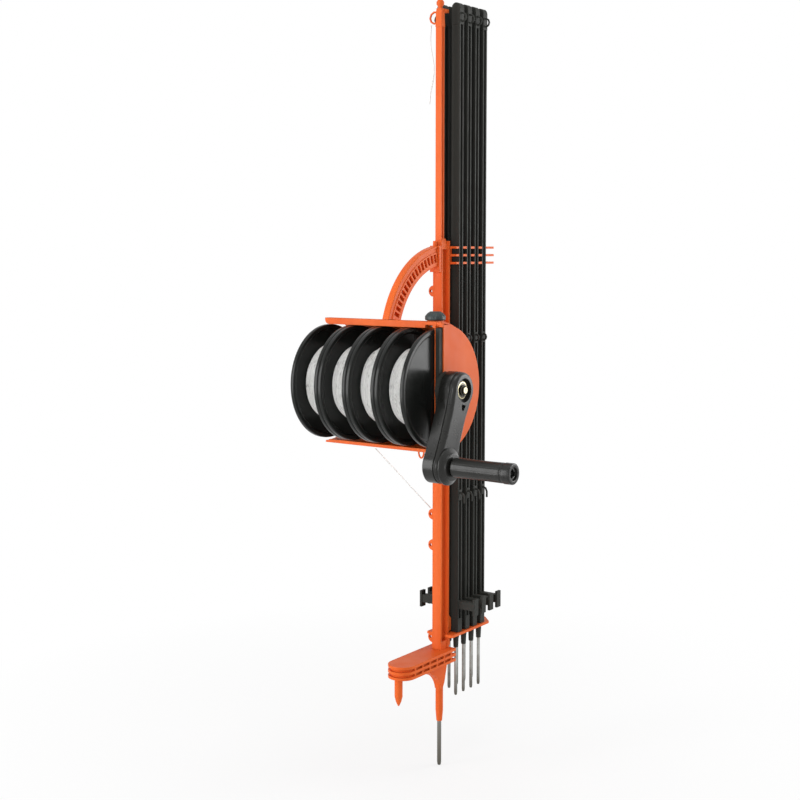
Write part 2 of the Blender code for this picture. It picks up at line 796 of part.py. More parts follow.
def bobbin_profile():
    width = REEL_WIDTH
    rim = RIM_WIDTH
    web = FLANGE_WEB
    shoulder = FLANGE_RADIUS - RIM_DEPTH
    bore = AXLE_RADIUS + GAP
    flange = [
        (FLANGE_RADIUS, 0), (FLANGE_RADIUS, rim), (shoulder, rim), (shoulder - 0.003, web),
        (CORE_RADIUS, web),
    ]
    bottom = flange[::-1] + [(bore, 0)]
    top = [(bore, width)] + [(radius, width - height) for radius, height in flange]
    return top + bottom


def reel_start(index):
    return REEL_START_X + REEL_PITCH * index


def make_reels():
    bobbin = None
    winding = None
    for index in range(REEL_COUNT):
        x = reel_start(index)
        pivot = (x, AXLE_Y, AXLE_Z)
        if bobbin is None:
            shape = turned(bobbin_profile(), REEL_STEPS, "X", pivot, closed=True)
            bobbin = named(shape, "reel_bobbin_1", BLACK, pivot)
            low = FLANGE_WEB + GAP
            high = REEL_WIDTH - FLANGE_WEB - GAP
            inner = CORE_RADIUS + GAP
            edge = WINDING_RADIUS - 0.001
            profile = [(inner, high), (edge, high), (WINDING_RADIUS, high - 0.006),
                       (WINDING_RADIUS, low + 0.006), (edge, low), (inner, low)]
            shape = turned(profile, REEL_STEPS, "X", pivot, closed=True)
            winding = named(shape, "wire_winding_1", POLYWIRE, pivot)
        else:
            copied(bobbin, f"reel_bobbin_{index + 1}", pivot)
            copied(winding, f"wire_winding_{index + 1}", pivot)


def guard_outline():
    """Half-barrel wall in the YZ plane, open towards -Y."""
    inner_radius = GUARD_RADIUS - GUARD_WALL
    over = math.degrees(math.asin((AXLE_Y - GUARD_FRONT_Y) / GUARD_RADIUS))
    centre = (AXLE_Y, GUARD_Z)
    outer = arc(centre, GUARD_RADIUS, 90 + over, -90 - over, 30)
    inner = arc(centre, inner_radius, -90 - over, 90 + over, 30)
    return outer + inner


def lip_outline(top):
    """The upper lip seen from the front: a strip with one round lower corner."""
    low = top - LIP_HEIGHT
    corner = arc((GUARD_START_X + LIP_CORNER, low + LIP_CORNER), LIP_CORNER, 180, 270, 6)
    return [(GUARD_END_X, top), (GUARD_START_X, top)] + corner + [(GUARD_END_X, low)]


def lip_eye(low):
    """A small ring that hangs under the guard's lower lip, for a resting wire."""
    points = []
    for step in range(9):
        angle = math.radians(180 + 22.5 * step)
        x = LIP_EYE_X + 0.0050 * math.cos(angle)
        z = low + 0.0010 + 0.0105 * math.sin(angle)
        points.append((x, GUARD_FRONT_Y + 0.0014, z))
    return wire(points, 0.0014, 1)


def make_guard():
    shell = slab(guard_outline(), GUARD_START_X, GUARD_END_X, "YZ")
    top = GUARD_Z + GUARD_RADIUS
    low = GUARD_Z - GUARD_RADIUS
    front = GUARD_FRONT_Y - 0.0005
    back = front + LIP_DEPTH
    lip = slab(lip_outline(top - 0.0004), front, back, "XZ")
    foot_lip = block(
        (FOOT_LIP_START_X, front, low + 0.0004), (GUARD_END_X, back, low + FOOT_LIP_HEIGHT)
    )
    notch_low = top - LIP_HEIGHT - 0.01
    notch_high = top - LIP_HEIGHT + NOTCH_HEIGHT
    notch = block((NOTCH_X[0], -0.18, notch_low), (NOTCH_X[1], back + 0.0030, notch_high))
    shell = joined(shell, lip, foot_lip)
    shell = cut(shell, notch)

    # Ring under the lower lip, a flat seat for the knob, and the holes for its stem and screws.
    seat_start = (BRAKE_X, BRAKE_Y, top - SEAT_DROP)
    seat = rod(KNOB_RADIUS * 0.80, seat_start, SEAT_DROP + SEAT_RISE, "Z", 24)
    shell = joined(shell, lip_eye(low), seat)
    stem_hole = rod(STEM_RADIUS + 0.0010 + GAP, (BRAKE_X, BRAKE_Y, top - 0.03), 0.06, "Z", 12)
    shell = cut(shell, stem_hole)
    for height in GUARD_SCREW_HEIGHTS:
        shell = cut(shell, rod(SCREW_RADIUS + GAP, (0, -0.07, height), 0.05, "Y", 10))
    return named(shell, "reel_guard", ORANGE)


def cut_disc(radius, front_y, steps):
    """Outline of the end cap: a disc cut off straight along its front edge."""
    over = math.degrees(math.asin((AXLE_Y - front_y) / radius))
    return arc((AXLE_Y, AXLE_Z), radius, -90 - over, 90 + over, steps)


def make_end_cap():
    """Two walls and a rim that close the guard's end, with the lip carried round the corner."""
    cap = slab(cut_disc(CAP_RADIUS, CAP_INNER_FRONT_Y, 32), CAP_START_X, CAP_END_X, "YZ")
    inner_wall_end = CAP_START_X + CAP_INNER_WALL
    space = cut_disc(CAP_RADIUS - CAP_RIM, CAP_INNER_FRONT_Y - 0.02, 32)
    hollow = slab(space, inner_wall_end, CAP_END_X - CAP_OUTER_WALL, "YZ")
    set_back = block(
        (inner_wall_end + DRAFT, -0.30, AXLE_Z - 0.2), (0.2, CAP_FRONT_Y, AXLE_Z + 0.2)
    )
    cap = cut(cap, hollow, set_back)
    top = GUARD_Z + GUARD_RADIUS - 0.0006
    low = AXLE_Z + CAP_RADIUS - CAP_RIM + 0.0006
    start = CAP_START_X + DRAFT
    end = CAP_END_X - DRAFT
    corner = arc((end - CAP_CORNER, top - CAP_CORNER), CAP_CORNER, 0, 90, 6)
    lip = slab(
        [(start, low), (end, low)] + corner + [(start, top)],
        GUARD_FRONT_Y - 0.0005, CAP_FRONT_Y + 0.0015, "XZ",
    )
    cap = joined(cap, lip)
    bush_hole = rod(BUSH_RADIUS + GAP, (CAP_START_X - 0.01, AXLE_Y, AXLE_Z), 0.05, "X", 20)
    return named(cut(cap, bush_hole), "guard_end_cap", ORANGE)


def make_bearing_plate():
    """Black plate between the end cap's walls that carries the axle's bush."""
    outline = cut_disc(CAP_RADIUS - CAP_RIM - GAP, CAP_INNER_FRONT_Y + 0.0004, 32)
    start = CAP_START_X + CAP_INNER_WALL + GAP
    plate = slab(outline, start, CAP_END_X - CAP_OUTER_WALL - GAP, "YZ")
    bush_hole = rod(BUSH_RADIUS + GAP, (CAP_START_X - 0.01, AXLE_Y, AXLE_Z), 0.05, "X", 20)
    return named(cut(plate, bush_hole), "bearing_plate", BLACK)


def make_bracket():
    """Block between the guard's back and the lead post."""
    reach = GUARD_RADIUS + GAP
    low, high = BRACKET_Z
    start = math.degrees(math.asin((low - GUARD_Z) / reach))
    end = math.degrees(math.asin((high - GUARD_Z) / reach))
    curve = arc((AXLE_Y, GUARD_Z), reach, end, start, 10)
    face = NEAR_RIDGE_Y - GAP
    outline = curve + [(face, low), (face, high)]
    bracket = slab(outline, -BRACKET_HALF, BRACKET_HALF, "YZ")
    window = block((-0.03, WINDOW_Y[0], WINDOW_Z[0]), (0.03, WINDOW_Y[1], WINDOW_Z[1]))
    bracket = cut(bracket, window)
    for height in BOLT_HEIGHTS:
        bracket = cut(bracket, rod(BOLT_HOLE, (0, -0.036, height), 0.03, "Y", 12))
    for height in GUARD_SCREW_HEIGHTS:
        bracket = cut(bracket, rod(SCREW_RADIUS + GAP, (0, -0.07, height), 0.0385, "Y", 10))
    return named(bracket, "guard_bracket", ORANGE)


def make_bracket_fasteners():
    bolt_start = -0.0350
    bolt_length = FAR_BACK_Y + 0.002 - bolt_start
    for name, height in zip(("bracket_bolt_lower", "bracket_bolt_upper"), BOLT_HEIGHTS):
        shank = rod(BOLT_RADIUS, (0, bolt_start, height), bolt_length, "Y", 12)
        head = rod(0.0055, (0, FAR_BACK_Y + GAP, height), 0.0042, "Y", 6)
        named(joined(head, shank), name, STEEL)
    for name, height in zip(("guard_screw_lower", "guard_screw_upper"), GUARD_SCREW_HEIGHTS):
        wall_reach = math.sqrt((GUARD_RADIUS - GUARD_WALL) ** 2 - (height - GUARD_Z) ** 2)
        head_top = AXLE_Y + wall_reach - 0.0040
        head = rod(0.0044, (0, head_top - 0.0024, height), 0.0024, "Y", 12)
        shank = rod(SCREW_RADIUS, (0, head_top - 0.001, height), 0.0200, "Y", 10)
        named(joined(head, shank), name, STEEL)


def handle_frame():
    """Centre and angles of the handle's arc, in the YZ plane."""
    start = Vector(HANDLE_START)
    end = Vector(HANDLE_END)
    chord = end - start
    half = math.asin(chord.length / 2 / HANDLE_RADIUS)
    normal = Vector((chord.y, -chord.x)).normalized()
    centre = (start + end) / 2 + normal * HANDLE_RADIUS * math.cos(half)
    first = math.degrees(math.atan2(start.y - centre.y, start.x - centre.x)) % 360
    last = math.degrees(math.atan2(end.y - centre.y, end.x - centre.x)) % 360
    return centre, first, last


def handle_band(centre, inner, outer, first, last, steps):
    return arc(centre, outer, first, last, steps) + arc(centre, inner, last, first, steps)


def make_handle():
    centre, first, last = handle_frame()
    edge = HANDLE_THICKNESS / 2
    outer = HANDLE_RADIUS + HANDLE_OUTWARD
    inner = HANDLE_RADIUS - HANDLE_INWARD
    band = handle_band(centre, inner, outer, first + 5.0, last - 6.0, 18)
    grip = slab(band, -edge, edge, "YZ")

    # Pockets in both sides leave a web, two flanges and a row of cross ribs.
    pockets = []
    step = (last - first) / HANDLE_SLOTS
    rim = 0.0080
    for count in range(HANDLE_SLOTS):
        near = first + step * (count + 0.16)
        far = first + step * (count + 0.84)
        outline = handle_band(centre, inner + rim, outer - rim, near, far, 1)
        for low, high in ((-0.0200, -0.0016), (0.0016, 0.0200)):
            pockets.append(slab(outline, low, high, "YZ"))
    grip = cut(grip, gathered(pockets))

    # Seats: the lower end follows the guard, the upper end meets the lead post.
    barrel = rod(GUARD_RADIUS + GAP, (-0.05, AXLE_Y, GUARD_Z), 0.10, "X", 96)
    post_side = block((-0.05, NEAR_RIDGE_Y - GAP, 0.55), (0.05, 0.05, 0.80))
    nub = rod(0.0040, (0, -0.0215, 0.7000), 0.0205, "Z", 12, 0.0030)
    pad = block((-0.0095, -0.0220, 0.6700), (0.0095, -0.0150, 0.7140))
    grip = joined(grip, pad, nub)
    return named(cut(grip, barrel, post_side), "carry_handle", ORANGE)


def make_axle():
    start = REEL_START_X - 0.0125
    end = ARM_END_X - BOLT_RECESS
    pivot = (0, AXLE_Y, AXLE_Z)
    axle = rod(AXLE_RADIUS, (start, AXLE_Y, AXLE_Z), end - start, "X", 16)
    named(axle, "reel_axle", STEEL, pivot)
    washer_x = REEL_START_X - GAP
    bore = AXLE_RADIUS + GAP
    thick = 0.0022
    section = [(bore, 0), (0.0150, 0), (0.0150, -thick), (bore, -thick)]
    washer = turned(section, 24, "X", (washer_x, AXLE_Y, AXLE_Z), closed=True)
    named(washer, "axle_end_washer", STEEL, pivot)
    nut_depth = 0.0065
    nut_x = washer_x - thick - GAP - nut_depth
    nut = rod(0.0105, (nut_x, AXLE_Y, AXLE_Z), nut_depth, "X", 6)
    nut = cut(nut, rod(bore, (nut_x - 0.01, AXLE_Y, AXLE_Z), 0.05, "X", 16))
    named(nut, "axle_end_nut", STEEL, pivot)


def make_bush():
    """Plain bush in the bearing plate and the end cap, with a flange on its outer side."""
    bore = AXLE_RADIUS + GAP
    outer = ARM_START_X - GAP
    seat = CAP_END_X + GAP
    profile = [
        (bore, outer), (BUSH_FLANGE_RADIUS, outer), (BUSH_FLANGE_RADIUS, seat), (BUSH_RADIUS, seat),
        (BUSH_RADIUS, CAP_START_X + GAP), (bore, CAP_START_X + GAP),
    ]
    bush = turned(profile, 20, "X", (0, AXLE_Y, AXLE_Z), closed=True)
    named(bush, "axle_bush", BLACK, (0, AXLE_Y, AXLE_Z))


def arm_plan(inset):
    """The arm's outline, hanging straight down from the axle, drawn in by an inset.
    The hub is drawn in less, so that its front face still holds the bolt's recess."""
    hub = arc((0, 0), HUB_RADIUS - HUB_SHARE * inset, -20, 200, 18)
    tail = arc((0, -CRANK_LENGTH), ARM_END_RADIUS - inset, 165, 375, 18)
    side = ARM_WAIST - inset
    left = [(-side, -0.040), (-side, -0.078)]
    right = [(side, -0.078), (side, -0.040)]
    return hub + left + tail + right


def make_crank():
    grip_y = AXLE_Y - CRANK_LENGTH * math.sin(CRANK_TILT)
    grip_z = AXLE_Z - CRANK_LENGTH * math.cos(CRANK_TILT)
    pivot = (0, AXLE_Y, AXLE_Z)

    # The arm hangs straight down here, and is tilted when it is whole.
    arm = lofted([
        (ARM_START_X, arm_plan(0.0)),
        (ARM_END_X - ARM_EDGE, arm_plan(0.0)),
        (ARM_END_X - ARM_EDGE * 0.40, arm_plan(ARM_EDGE * 0.42)),
        (ARM_END_X, arm_plan(ARM_EDGE)),
    ])
    groove = slab(
        arc((0.0005, -0.036), 0.0045, 0, 180, 6) + arc((0.0005, -0.096), 0.0045, 180, 360, 6),
        ARM_END_X - 0.003, ARM_END_X + 0.01, "YZ",
    )
    back_pocket = slab(
        arc((0, -0.034), 0.0120, 0, 180, 8) + arc((0, -CRANK_LENGTH + 0.030), 0.0120, 180, 360, 8),
        ARM_START_X - 0.01, ARM_START_X + 0.020, "YZ",
    )
    bolt_recess = rod(0.0165, (ARM_END_X - BOLT_RECESS, 0, 0), 0.02, "X", 24)
    width = ARM_END_X - ARM_START_X
    axle_bore = rod(AXLE_RADIUS + GAP, (ARM_START_X - 0.01, 0, 0), width + 0.02, "X", 16)
    spindle_bore = rod(
        SPINDLE_RADIUS + GAP, (ARM_START_X + 0.006, 0, -CRANK_LENGTH), 0.06, "X", 12
    )
    arm = cut(arm, groove, back_pocket, bolt_recess, axle_bore, spindle_bore)
    tilt = Matrix.Translation((0, AXLE_Y, AXLE_Z)) @ Matrix.Rotation(-CRANK_TILT, 4, "X")
    named(moved(arm, tilt), "crank_arm", BLACK, pivot)

    washer_x = ARM_END_X - BOLT_RECESS + GAP
    washer = rod(0.0135, (washer_x, AXLE_Y, AXLE_Z), 0.0018, "X", 24)
    washer = cut(washer, rod(0.0033, (washer_x - 0.01, AXLE_Y, AXLE_Z), 0.03, "X", 12))
    named(washer, "crank_washer", CHROME, pivot)
    head_x = washer_x + 0.0018 + GAP
    dome = [(0, 0.0054), (0.0036, 0.0052), (0.0064, 0.0038), (0.0084, 0.0014), (0.0084, 0), (0, 0)]
    head = turned(dome, 16, "X", (head_x, AXLE_Y, AXLE_Z))
    shank = rod(0.0030, (washer_x - GAP / 3, AXLE_Y, AXLE_Z), 0.004, "X", 12)
    named(joined(head, shank), "crank_bolt", CHROME, pivot)

    grip_pivot = (0, grip_y, grip_z)
    spindle_x = ARM_START_X + 0.0065
    spindle_length = GRIP_END_X - 0.0120 - spindle_x
    spindle = rod(SPINDLE_RADIUS, (spindle_x, grip_y, grip_z), spindle_length, "X", 12)
    named(spindle, "grip_spindle", STEEL, pivot)
    collar_length = GRIP_START_X - ARM_END_X - 2 * GAP
    collar_start = (ARM_END_X + GAP, grip_y, grip_z)
    collar = rod(COLLAR_RADIUS, collar_start, collar_length, "X", 24, COLLAR_RADIUS - 0.0070)
    bore = SPINDLE_RADIUS + GAP
    collar = cut(collar, rod(bore, (ARM_END_X - 0.01, grip_y, grip_z), 0.04, "X", 12))
    named(collar, "grip_collar", BLACK, pivot)

    # The grip sleeve turns on the spindle; its outer end is closed by a plug.
    length = GRIP_END_X - GRIP_START_X
    neck = GRIP_END_RADIUS - 0.0014
    profile = [
        (GRIP_CUP, length), (GRIP_END_RADIUS - 0.0012, length), (GRIP_END_RADIUS, length - 0.0015),
        (GRIP_END_RADIUS, length - 0.0135), (neck, length - 0.0150), (neck, length - 0.0165),
        (GRIP_RADIUS, length - 0.0180), (GRIP_RADIUS, 0.0020), (GRIP_RADIUS - 0.0015, 0),
        (bore, 0), (bore, length - 0.0140), (GRIP_CUP, length - 0.0140),
    ]
    sleeve = turned(profile, 20, "X", (GRIP_START_X, grip_y, grip_z), closed=True)
    named(sleeve, "grip_sleeve", BLACK, grip_pivot)
    plug = rod(GRIP_CUP - GAP, (GRIP_END_X - 0.0110, grip_y, grip_z), 0.0085, "X", 20)
    named(plug, "grip_end_plug", BLACK, grip_pivot)


def make_brake():
    top = GUARD_Z + GUARD_RADIUS + SEAT_RISE
    pivot = (BRAKE_X, BRAKE_Y, top)
    base = top + GAP
    profile = [
        (0, KNOB_HEIGHT), (0.0070, KNOB_HEIGHT - 0.0006), (0.0125, KNOB_HEIGHT - 0.0028),
        (0.0152, KNOB_HEIGHT - 0.0064), (KNOB_RADIUS, KNOB_HEIGHT - 0.0100), (KNOB_RADIUS, 0), (0, 0),
    ]
    knob = turned(profile, 20, origin=(BRAKE_X, BRAKE_Y, base))
    knob = cut(knob, rod(STEM_RADIUS + GAP, (BRAKE_X, BRAKE_Y, base - 0.01), 0.0185, "Z", 12))
    named(knob, "brake_knob", KNOB, pivot)

    reel_end = reel_start(REEL_COUNT - 1) + REEL_WIDTH
    shoe_low = AXLE_Z + FLANGE_RADIUS + SHOE_STROKE + GAP
    shoe_high = GUARD_Z + GUARD_RADIUS - SEAT_DROP - GAP
    shoe = block(
        (BRAKE_X - 0.0070, BRAKE_Y - SHOE_HALF, shoe_low), (reel_end, BRAKE_Y + SHOE_HALF, shoe_high)
    )
    stem_low = shoe_low + 0.0005
    stem = rod(STEM_RADIUS, (BRAKE_X, BRAKE_Y, stem_low), base + 0.0060 - stem_low, "Z", 12)
    named(joined(shoe, stem), "brake_shoe", STEEL, pivot)


def smooth_route(route, spacing):
    """Points about one spacing apart on a smooth curve through a route's points."""
    places = [Vector(place) for place in route]
    places = [2 * places[0] - places[1]] + places + [2 * places[-1] - places[-2]]
    points = [places[1]]
    for before, start, end, after in zip(places, places[1:], places[2:], places[3:]):
        steps = max(1, round((end - start).length / spacing))
        for step in range(1, steps + 1):
            t = step / steps
            drift = (end - before) * t + (2 * before - 5 * start + 4 * end - after) * t ** 2
            point = start + (drift + (3 * start - before - 3 * end + after) * t ** 3) / 2
            points.append(point)
    return points


def make_wires():
    """The fence wire's taut stretch to the lead post and its loose end on the top ring."""
    strand = wire([STRAND_START, STRAND_END], WIRE_RADIUS)
    named(strand, "fence_wire_strand", POLYWIRE)
    tail = wire(smooth_route(TAIL_ROUTE, TAIL_SPACING), WIRE_RADIUS)
    named(tail, "fence_wire_tail", POLYWIRE)


clear_scene()
PARTS = make_collection(COLLECTION_NAME)
ORANGE = make_material("orange_moulding", (0.90, 0.16, 0.03), 0.45)
BLACK = make_material("black_moulding", (0.02, 0.02, 0.02), 0.50)
KNOB = make_material("dark_knob", (0.03, 0.04, 0.04), 0.45)
STEEL = make_material("steel", (0.45, 0.45, 0.43), 0.35, 1.0)
CHROME = make_material("bright_plate", (0.75, 0.74, 0.66), 0.18, 1.0)
POLYWIRE = make_material("polywire", (0.78, 0.78, 0.75), 0.75)

make_lead_post()
make_lead_spike()
make_tread_foot()
make_line_posts()
make_line_spikes()
make_upper_comb()
make_lower_tray()
make_reels()
make_guard()
make_end_cap()
make_bearing_plate()
make_bracket()
make_bracket_fasteners()
make_handle()
make_axle()
make_bush()
make_crank()
make_brake()
make_wires()
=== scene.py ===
"""Looks of the portable electric fence unit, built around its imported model.

All lengths are metres in the model's own frame: +Z runs up the lead post, +X along the reel
axle towards the crank, +Y from the lead post towards the line posts.
"""
import json
import math

import bmesh
import bpy
from mathutils import Matrix, Vector

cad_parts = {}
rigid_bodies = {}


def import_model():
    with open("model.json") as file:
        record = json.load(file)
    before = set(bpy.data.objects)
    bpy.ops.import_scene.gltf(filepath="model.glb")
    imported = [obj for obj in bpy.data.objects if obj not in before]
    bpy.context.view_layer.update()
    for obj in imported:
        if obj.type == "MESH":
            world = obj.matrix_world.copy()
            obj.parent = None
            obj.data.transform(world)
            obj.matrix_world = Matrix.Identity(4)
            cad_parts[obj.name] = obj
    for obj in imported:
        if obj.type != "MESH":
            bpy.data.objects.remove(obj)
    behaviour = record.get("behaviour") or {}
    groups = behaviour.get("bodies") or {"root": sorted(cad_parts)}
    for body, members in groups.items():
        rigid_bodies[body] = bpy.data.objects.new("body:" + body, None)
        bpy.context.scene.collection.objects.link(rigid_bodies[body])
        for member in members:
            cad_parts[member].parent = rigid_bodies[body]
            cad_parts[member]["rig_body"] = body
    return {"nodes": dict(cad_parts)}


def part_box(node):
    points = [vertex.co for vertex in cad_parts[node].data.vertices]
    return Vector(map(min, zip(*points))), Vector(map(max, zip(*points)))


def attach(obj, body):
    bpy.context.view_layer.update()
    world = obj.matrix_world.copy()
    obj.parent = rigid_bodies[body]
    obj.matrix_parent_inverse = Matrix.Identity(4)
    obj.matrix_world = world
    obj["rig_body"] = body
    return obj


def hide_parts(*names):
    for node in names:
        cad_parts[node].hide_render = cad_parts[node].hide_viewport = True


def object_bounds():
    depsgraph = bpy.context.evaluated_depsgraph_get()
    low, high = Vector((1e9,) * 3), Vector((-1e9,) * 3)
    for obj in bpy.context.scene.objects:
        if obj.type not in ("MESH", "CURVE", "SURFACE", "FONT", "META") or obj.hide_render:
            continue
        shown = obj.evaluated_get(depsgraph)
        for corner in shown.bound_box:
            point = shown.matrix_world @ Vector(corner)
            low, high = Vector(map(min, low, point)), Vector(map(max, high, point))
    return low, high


for old in list(bpy.data.objects):
    bpy.data.objects.remove(old, do_unlink=True)
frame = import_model()
cad_low, cad_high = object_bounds()

# Camera, matched to the photograph to within a few pixels.
CAMERA_PLACE = (1.2625, -1.8577, 0.7046)
CAMERA_AZIMUTH = math.radians(36)
CAMERA_PITCH = math.radians(4.66)
CAMERA_LENS = 60
CAMERA_SENSOR = 36
CAMERA_SHIFT = -0.05

# Lamps: name, place, target, width, height and watts.
LAMPS = (
    ("key_lamp", (1.40, 1.70, 0.92), (0, -0.05, 0.60), 1.4, 1.4, 32),
    ("left_lamp", (-1.25, -2.00, 0.60), (0, -0.10, 0.42), 0.8, 2.2, 36),
    ("front_lamp", (0.55, -2.30, 0.60), (0, -0.10, 0.40), 0.7, 0.9, 14),
    ("top_lamp", (0.20, -0.40, 2.60), (0, 0, 0.6), 1.0, 1.0, 11),
)
WORLD_LEVEL = 0.46

# Floor: its gap under the object, its size, and how it fades to the white background.
FLOOR_GAP = 0.0004
FLOOR_SIZE = 12
SHADOW_SHARE = 0.25
FADE_START = 0.25
FADE_END = 1.1

# Fence wire: its thickness and the routes of its two free stretches.
WIRE_RADIUS = 0.0009
STRAND_START = (-0.0170, -0.1636, 0.3890)
STRAND_END = (-0.0128, -0.0150, 0.2700)
TAIL_SPACING = 0.0045
TAIL_ROUTE = (
    (-0.0178, -0.0070, 1.0786),
    (-0.0179, -0.0073, 1.0745),
    (-0.0181, -0.0079, 1.0680),
    (-0.0182, -0.0086, 1.0600),
    (-0.0179, -0.0092, 1.0510),
    (-0.0169, -0.0096, 1.0420),
    (-0.0151, -0.0098, 1.0335),
    (-0.0129, -0.0100, 1.0250),
    (-0.0112, -0.0100, 1.0160),
    (-0.0105, -0.0100, 1.0070),
    (-0.0107, -0.0100, 0.9980),
    (-0.0118, -0.0100, 0.9890),
    (-0.0138, -0.0100, 0.9800),
    (-0.0161, -0.0100, 0.9715),
    (-0.0180, -0.0100, 0.9620),
    (-0.0191, -0.0100, 0.9490),
)

# Copied nodes: the rounding of their edges, and the angle from which an edge counts as sharp.
SOFT_EDGE = 0.0005
SHARP_ANGLE = 35
WELD = 0.00001

# Cuts: how far they reach past a piece, and the clearance round what passes into it.
OVERCUT = 0.01
GAP = 0.0003

# Reels and the turns of wire on them.
REEL_STEPS = 128
RIM_WIDTH = 0.0072
RIM_DEPTH = 0.0065
RIM_ROUNDING = 0.0016
WEB = 0.0032
BOSS_RADIUS = 0.0170
SUNK_RADIUS = 0.0185
SUNK_DEPTH = 0.0012
CORE_RADIUS = 0.0300
BORE = 0.0063
TURN_PITCH = 0.0021
TURN_HEIGHT = 0.0008
POINTS_PER_TURN = 6
WINDING_STEPS = 96
LAYER_DEPTH = 0.0009
DRIFT_PER_TURN = 1.7
DRIFT_PER_REEL = 2.3
SIDE_WIDTH = 0.0060
SIDE_SINK = 0.0022

# Crank: an arm with a rounded front edge, and a turned grip.
ARM_EDGE = 0.0078
HUB_RADIUS = 0.0285
HUB_SHARE = 0.78
ARM_WAIST = 0.0240
ARM_END_RADIUS = 0.0270
SEAM_WIDTH = 0.0020
SEAM_DEPTH = 0.0016
SEAM_EDGE = 0.0003
SEAM_LIP = 0.0004
CRANK_TILT = math.radians(22.4)
CRANK_LENGTH = 0.1209
ARM_SIDE_HEIGHTS = (-0.040, -0.059, -0.078)
ARM_BACK_EDGE = 0.0006
ARM_EDGE_STEPS = 8
NOTCH_DEPTH = 0.0050
NOTCH_CORNERS = (
    (0.0010, -0.0220, 0.0012), (0.0125, -0.0205, 0.0012),
    (0.0085, -0.0310, 0.0016), (0.0040, -0.0300, 0.0016),
)
POCKET_RADIUS = 0.0120
POCKET_TOP = -0.034
POCKET_ABOVE_GRIP = 0.030
POCKET_DEPTH = 0.020
RECESS_RADIUS = 0.0185
BOLT_RECESS = 0.0060
SPINDLE_FLOOR = 0.0060
SPINDLE_RADIUS = 0.0050
WASHER_RADIUS = 0.0135
WASHER_BORE = 0.0033
BOLT_SHANK = 0.0029
BOLT_FLANGE = 0.0083
BOLT_HEAD = 0.0070
HEXAGON_START = 0.0040
HEXAGON_HALF = 0.0064
GRIP_BODY_INSET = 0.0006
GRIP_NECK_INSET = 0.0016
GRIP_HEAD_LENGTH = 0.0138
GRIP_CUP_RADIUS = 0.0098
GRIP_CUP_DEPTH = 0.0140
GRIP_FLUTES = 24
FLUTE_DEPTH = 0.00022
FLUTES_FROM_ARM = 0.012
FLUTES_FROM_END = 0.022

# Brake knob.
KNOB_SCALLOPS = 12
SCALLOP_DEPTH = 0.0008

# Ground spikes: the tip as shares of the radius, and how high soil has stained them.
TIP_FLAT = 0.78
TIP_ROUNDING = 0.55
TIP_HEIGHT = 1.8
LEAD_STAIN_HEIGHT = 0.14
LINE_STAIN_HEIGHT = 0.05

# Carry handle: an arc in the plane X = 0.
HANDLE_START = (-0.1390, 0.5990)
HANDLE_END = (-0.0150, 0.6950)
HANDLE_RADIUS = 0.1500
HANDLE_OUTWARD = 0.0190
HANDLE_INWARD = 0.0140
HANDLE_WEB = 0.0016
HANDLE_HALF_WIDTH = 0.0065
HANDLE_ROUNDING = 0.0012
HANDLE_CUT_REACH = 0.02

# Degrees left out of the handle's arc at its start and end, for the band and its channel.
BAND_TRIM = (5.0, 6.0)
CHANNEL_TRIM = (7.0, 9.0)

# The handle's channel, and the ladder of pockets, each within a share of its own step.
CHANNEL_DEPTH = 0.0012
CHANNEL_INNER = 0.0100
CHANNEL_OUTER = 0.0030
LADDER_POCKETS = 17
LADDER_START = 0.17
LADDER_END = 0.83
LADDER_INNER = 0.0070
LADDER_OUTER = 0.0125

# The pad and the nub that hold the handle on the post.
PAD_CORNERS = (
    (-0.0220, 0.6700, 0.0012), (-0.0150, 0.6700, 0),
    (-0.0150, 0.7140, 0), (-0.0220, 0.7140, 0.0012),
)
NUB_PLACE = (0, -0.0215, 0.7000)
NUB_OUTLINE = ((0, 0), (0.0040, 0), (0.0030, 0.0205), (0, 0.0205))

# What the handle's ends fit against: the guard's barrel and the side of the lead post.
GUARD_RADIUS = 0.1030
GUARD_CENTRE = (-0.1550, 0.4935)
POST_SIDE_CORNERS = ((-0.0163, 0.55), (0.05, 0.55), (0.05, 0.80), (-0.0163, 0.80))
END_CUT_REACH = 0.05


def linked(name, mesh):
    """Puts a mesh or a curve in the scene under a piece's name."""
    piece = bpy.data.objects.new(name, mesh)
    bpy.context.scene.collection.objects.link(piece)
    return piece


def from_bmesh(name, shape):
    bmesh.ops.recalc_face_normals(shape, faces=shape.faces)
    mesh = bpy.data.meshes.new(name)
    shape.to_mesh(mesh)
    shape.free()
    return linked(name, mesh)


def arc(centre, radius, start, end, steps):
    """Points on a circle between two angles in degrees, both ends included."""
    points = []
    for step in range(steps + 1):
        angle = math.radians(start + (end - start) * step / steps)
        points.append((centre[0] + radius * math.cos(angle), centre[1] + radius * math.sin(angle)))
    return points


def rounded(corners, steps=4):
    """A closed outline from (across, up, radius) corners, each with its radius rounded off."""
    points = []
    for index, (across, up, radius) in enumerate(corners):
        here = Vector((across, up))
        if radius <= 0:
            points.append((across, up))
            continue
        before = (Vector(corners[index - 1][:2]) - here).normalized()
        after = (Vector(corners[(index + 1) % len(corners)][:2]) - here).normalized()
        half = before.angle(after) / 2
        reach = radius / math.tan(half)
        centre = here + (before + after).normalized() * radius / math.sin(half)
        first = here + before * reach - centre
        last = here + after * reach - centre
        start = math.atan2(first.y, first.x)
        sweep = (math.atan2(last.y, last.x) - start + math.pi) % math.tau - math.pi
        for step in range(steps + 1):
            angle = start + sweep * step / steps
            points.append((centre.x + radius * math.cos(angle), centre.y + radius * math.sin(angle)))
    return points


